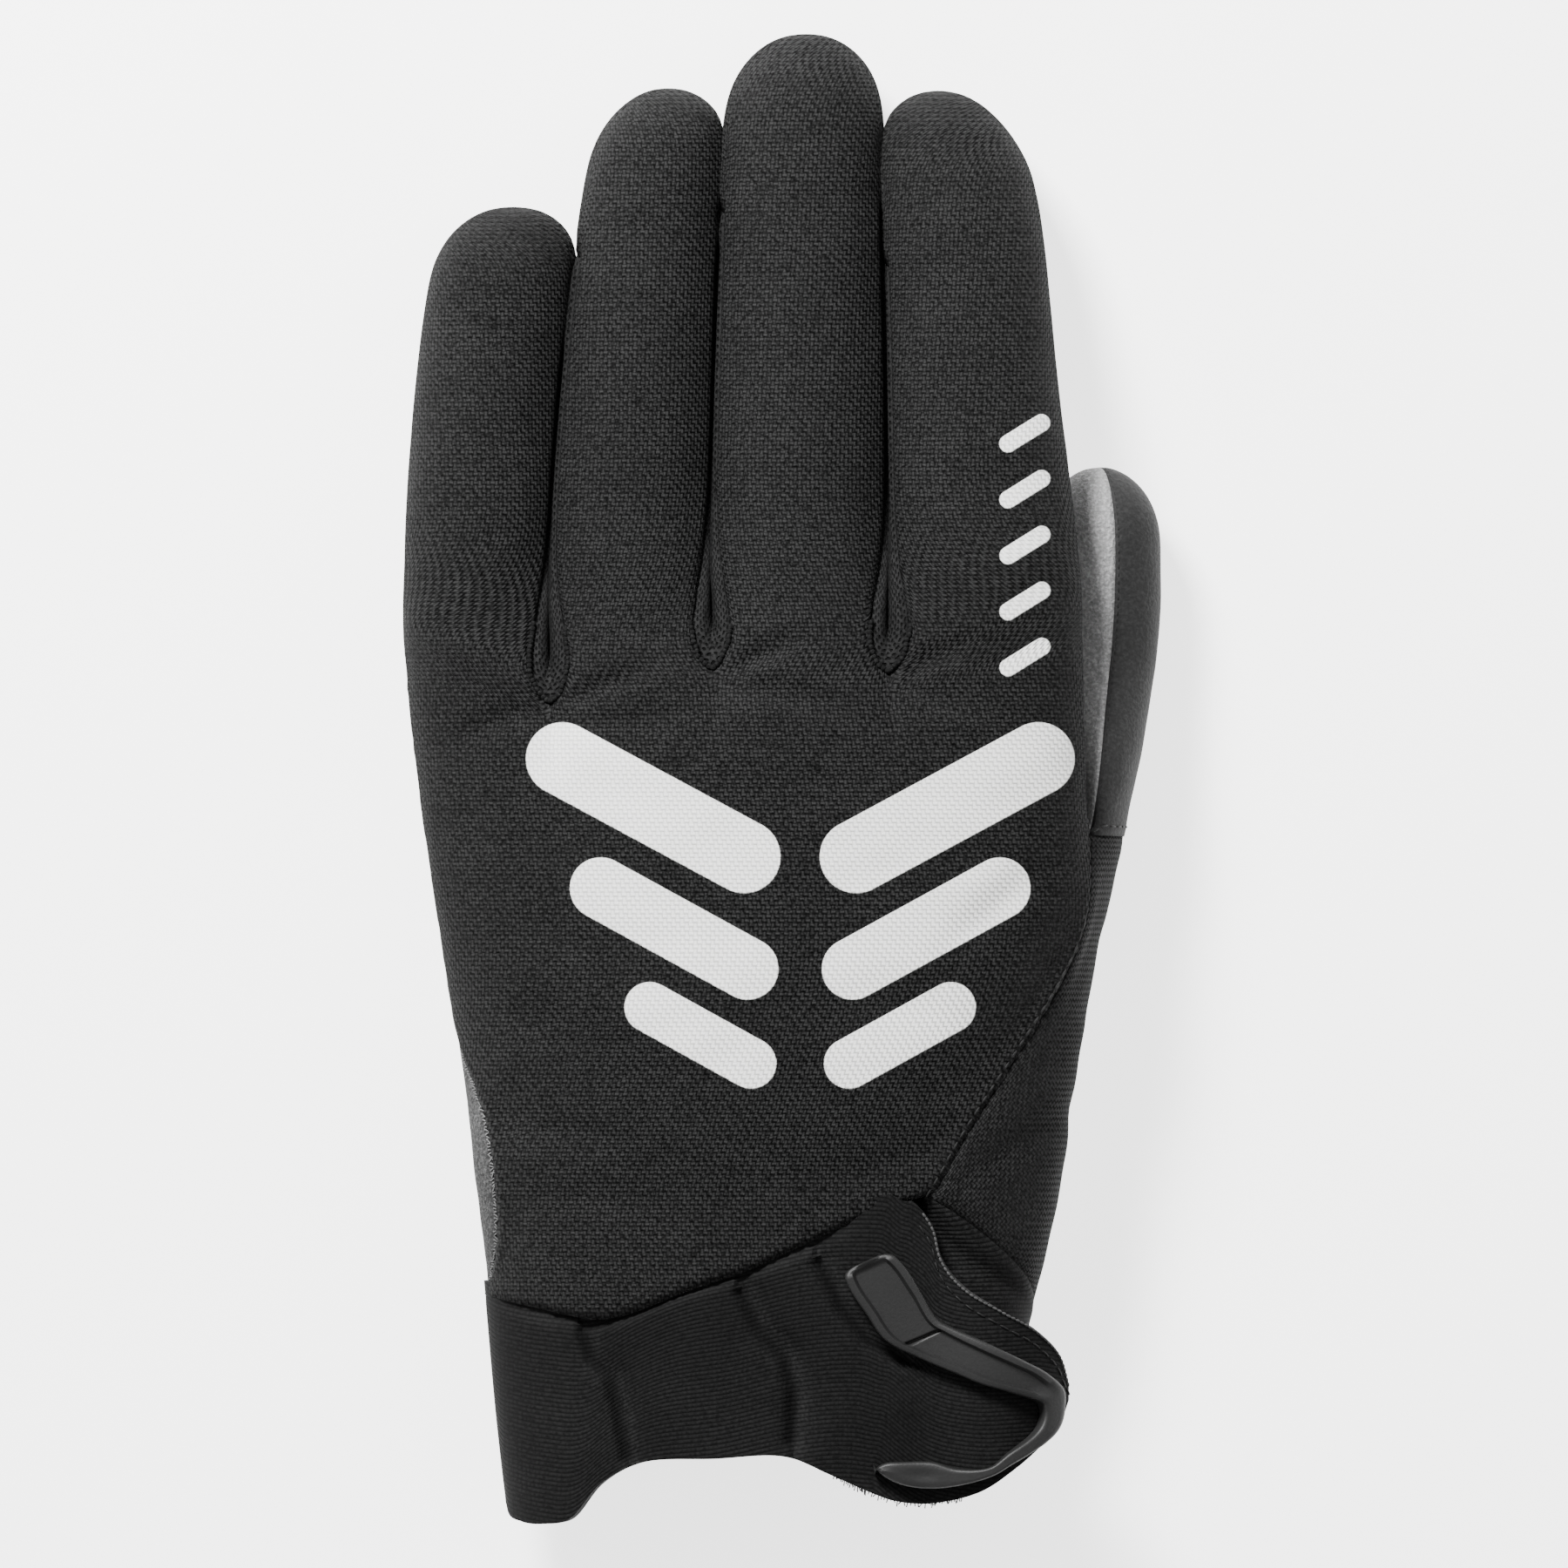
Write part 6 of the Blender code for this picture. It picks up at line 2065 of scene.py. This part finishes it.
@dataclass
class RubberPull:
    """The moulded rubber pull on the strap's free end: a bent bar with a raised rim round a lower plate."""

    strap: ClosureStrap
    gap: float = 0.1 * MM
    rim: float = 1.9 * MM
    plate: float = 1.25 * MM
    rim_width: float = 1.1 * MM
    bevel: float = 0.45 * MM
    corner: float = 0.022
    rounding: float = 1.6 * MM
    notch: float = 0.305
    notch_width: float = 0.006
    notch_depth: float = 0.7 * MM
    sections: int = 300
    plan: Table = Table(
        "along outer_across outer_up inner_across inner_up",
        (0.0, 0.138, 0.1862, 0.079, 0.1725), (0.04, 0.151, 0.1802, 0.0835, 0.165),
        (0.16, 0.179, 0.16, 0.109, 0.144), (0.26, 0.206, 0.1398, 0.1335, 0.1268),
        (0.32, 0.224, 0.135, 0.156, 0.1198), (0.42, 0.27, 0.1244, 0.23, 0.1042),
        (0.52, 0.31, 0.1134, 0.264, 0.097), (0.58, 0.34, 0.1042, 0.295, 0.092),
        (0.63, 0.359, 0.093, 0.331, 0.0852), (0.66, 0.36, 0.084, 0.335, 0.081),
        (0.71, 0.3545, 0.069, 0.333, 0.0715), (0.76, 0.337, 0.058, 0.3215, 0.063),
        (0.81, 0.3, 0.045, 0.293, 0.0515), (0.85, 0.273, 0.036, 0.269, 0.0418),
        (0.89, 0.2365, 0.0303, 0.231, 0.041), (0.93, 0.1965, 0.028, 0.1965, 0.0455),
        (0.97, 0.156, 0.0303, 0.15, 0.0455), (1.0, 0.12, 0.0375, 0.118, 0.0448),
    )

    def ring(self, along: float) -> list[Vector]:
        """Works out one section round the bar.

        Args:
            along: the share along the bar.

        Returns:
            The section's points.
        """
        form = self.strap.form
        outer, inner = (Vector((self.plan.at(f"{side}_across", along) * form.width,
                                form.y_of(self.plan.at(f"{side}_up", along)))) for side in ("outer", "inner"))
        corner = (1 - arch(1 - min(along, 1 - along, self.corner) / self.corner, 2)) * self.rounding
        inwards = (inner - outer).normalized() * corner
        outer, inner = outer + inwards, inner - inwards
        width = (outer - inner).length
        end = smooth(min(along, 1 - along) / 0.03)
        sunk = self.rim - (self.rim - self.plate) * smooth((width - 3 * self.rim_width) / (2 * MM)) * end
        sunk -= self.notch_depth * bell((along - self.notch) / self.notch_width)
        top = self.rim - (1 - end) * 0.4 * MM
        bevel = min(self.bevel, width * 0.2)
        rim = min(self.rim_width, width * 0.3)
        half = [(0.0, 0.0), (0.0, top - self.bevel), (bevel * 0.3, top - self.bevel * 0.3), (bevel, top),
                (rim, top), (rim + bevel, sunk)]
        profile = [*half, (width / 2, sunk), *((width - off, height) for off, height in half[::-1])]
        spots = [(outer.lerp(inner, off / width), self.gap + height) for off, height in profile]
        return [self.strap.off_face(*spot, height) for spot, height in spots]

    def build(self) -> bpy.types.Object:
        """Makes the pull's piece.

        Returns:
            The piece.
        """
        mesh = bmesh.new()
        stops = spread(0.0, 1.0, self.sections)
        rings = [[mesh.verts.new(point) for point in self.ring(along)] for along in stops]
        for a, b in zip(rings, rings[1:]):
            for i in range(len(a)):
                mesh.faces.new([a[i], a[(i + 1) % len(a)], b[(i + 1) % len(a)], b[i]])
        mesh.faces.new(rings[0][::-1])
        mesh.faces.new(rings[-1])
        bmesh.ops.recalc_face_normals(mesh, faces=mesh.faces)
        data = mesh_of("rubber_pull_moulding", mesh)
        data.shade_smooth()
        data.set_sharp_from_angle(angle=math.radians(48))
        return new_object("rubber_pull_moulding", data, Finishes.RUBBER)


@dataclass
class Studio:
    """The floor, the soft lights and the camera."""

    form: HandForm
    photo_width: float = 225.0 * MM  # what the photograph's frame spans at the glove
    photo_centre: tuple[float, float] = (0.19 * MM, -0.6 * MM)
    camera_height: float = 4.0
    sharp_height: float = 0.009  # the outline's height above the floor, where the photo's width is measured
    sensor: float = 36.0
    floor_half: float = 3.0
    sky_strength: float = 0.42

    def build(self) -> None:
        """Makes the floor, the lights, the sky and the camera."""
        mesh = bpy.data.meshes.new("floor")
        corners = [(-1, -1), (1, -1), (1, 1), (-1, 1)]
        points = [(x * self.floor_half, y * self.floor_half, 0) for x, y in corners]
        mesh.from_pydata(points, [], [(0, 1, 2, 3)])
        floor = new_object("floor", mesh, Finishes.FLOOR)
        world = bpy.data.worlds.new("sky")
        bpy.context.scene.world = world
        world.use_nodes = True
        sky = world.node_tree.nodes["Background"]
        sky.inputs["Color"].default_value = (1, 1, 1, 1)
        sky.inputs["Strength"].default_value = self.sky_strength
        self.light("key", (-0.28, 0.55, 0.5), 0.22, 24.0)
        self.light("fill", (0.9, 0.2, 1.2), 1.0, 5.0)
        self.light("low", (-0.4, -0.9, 0.9), 0.9, 4.0)
        data = bpy.data.cameras.new("camera")
        data.sensor_width = self.sensor
        data.lens = self.sensor * (self.camera_height - self.sharp_height) / self.photo_width
        data.clip_end = 30
        camera = bpy.data.objects.new("camera", data)
        camera.location = (*self.photo_centre, self.camera_height)
        bpy.context.scene.collection.objects.link(camera)
        bpy.context.scene.camera = camera

    def light(self, name: str, place: tuple[float, float, float], size: float, power: float) -> None:
        """Adds a square soft light that faces the glove.

        Args:
            name: its name.
            place: where it is.
            size: its width.
            power: its power in watts.
        """
        data = bpy.data.lights.new(name, "AREA")
        data.size = size
        data.energy = power
        light = bpy.data.objects.new(name, data)
        light.location = place
        light.rotation_euler = (Vector((0, 0, 0)) - Vector(place)).to_track_quat("-Z", "Y").to_euler()
        bpy.context.scene.collection.objects.link(light)


def dress_hook_pad() -> None:
    """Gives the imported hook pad, which the strap covers, its tape."""
    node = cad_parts["hook_pad"]
    node.data.materials.clear()
    node.data.materials.append(Finishes.get(Finishes.HOOKS))


def main() -> None:
    """Builds the glove's pieces in order."""
    logging.basicConfig(level=logging.INFO, format="%(name)s: %(message)s")
    form = HandForm()
    skin = Skin(form)
    skin.build()
    LOG.info("skin: %d faces before smoothing", len(skin.mesh.faces))
    cutter = PanelCutter(skin, level=2)
    whole = cutter.cut()
    lockstitch = ThreadWork(1.9 * MM, 1.45 * MM, 0.17 * MM)
    cutter.sew(whole, lockstitch, SEWN_LINES, "stitches")
    cutter.sew(whole, ThreadWork(1.1 * MM, 0.8 * MM, 0.09 * MM), FINE_LINES, "fine_stitches")
    cutter.sew(whole, ThreadWork(0.7 * MM, 0.95 * MM, 0.42 * MM, 0.45 * MM), SLIT_LINES, "slit_overlock")
    cutter.fray_palm_edge(whole, Fray(0.45 * MM, 1.1 * MM, 0.1 * MM))
    whole.free()
    strap = ClosureStrap(form, cutter.base)
    slot = "strap_neoprene"
    hand_over(strap.build(), slot, "closure_strap")
    lockstitch.lay("closure_strap_stitches", strap.stitch_rows(2.3 * MM), Finishes.THREAD, slot)
    # the lighter line along the free edge, part binding and part painted highlight
    binding_and_highlight = ThreadWork(0.75 * MM, 0.8 * MM, 0.2 * MM)
    binding_and_highlight.lay("closure_strap_binding_and_highlight", strap.stitch_rows(0.25 * MM), Finishes.BINDING_AND_HIGHLIGHT, slot)
    fuzz = Fray(0.35 * MM, 0.7 * MM, 0.08 * MM)
    hooks = fuzz.fibres(strap.hook_edge(), Vector((-0.2, -1.0, 0.0)))
    fuzz.lay("hook_tape_fibres", hooks, Finishes.HOOKS, "hook_tape")
    hand_over(RubberPull(strap).build(), "moulded_rubber", "rubber_pull")
    dress_hook_pad()
    Studio(form).build()


if __name__ == "__main__":
    main()
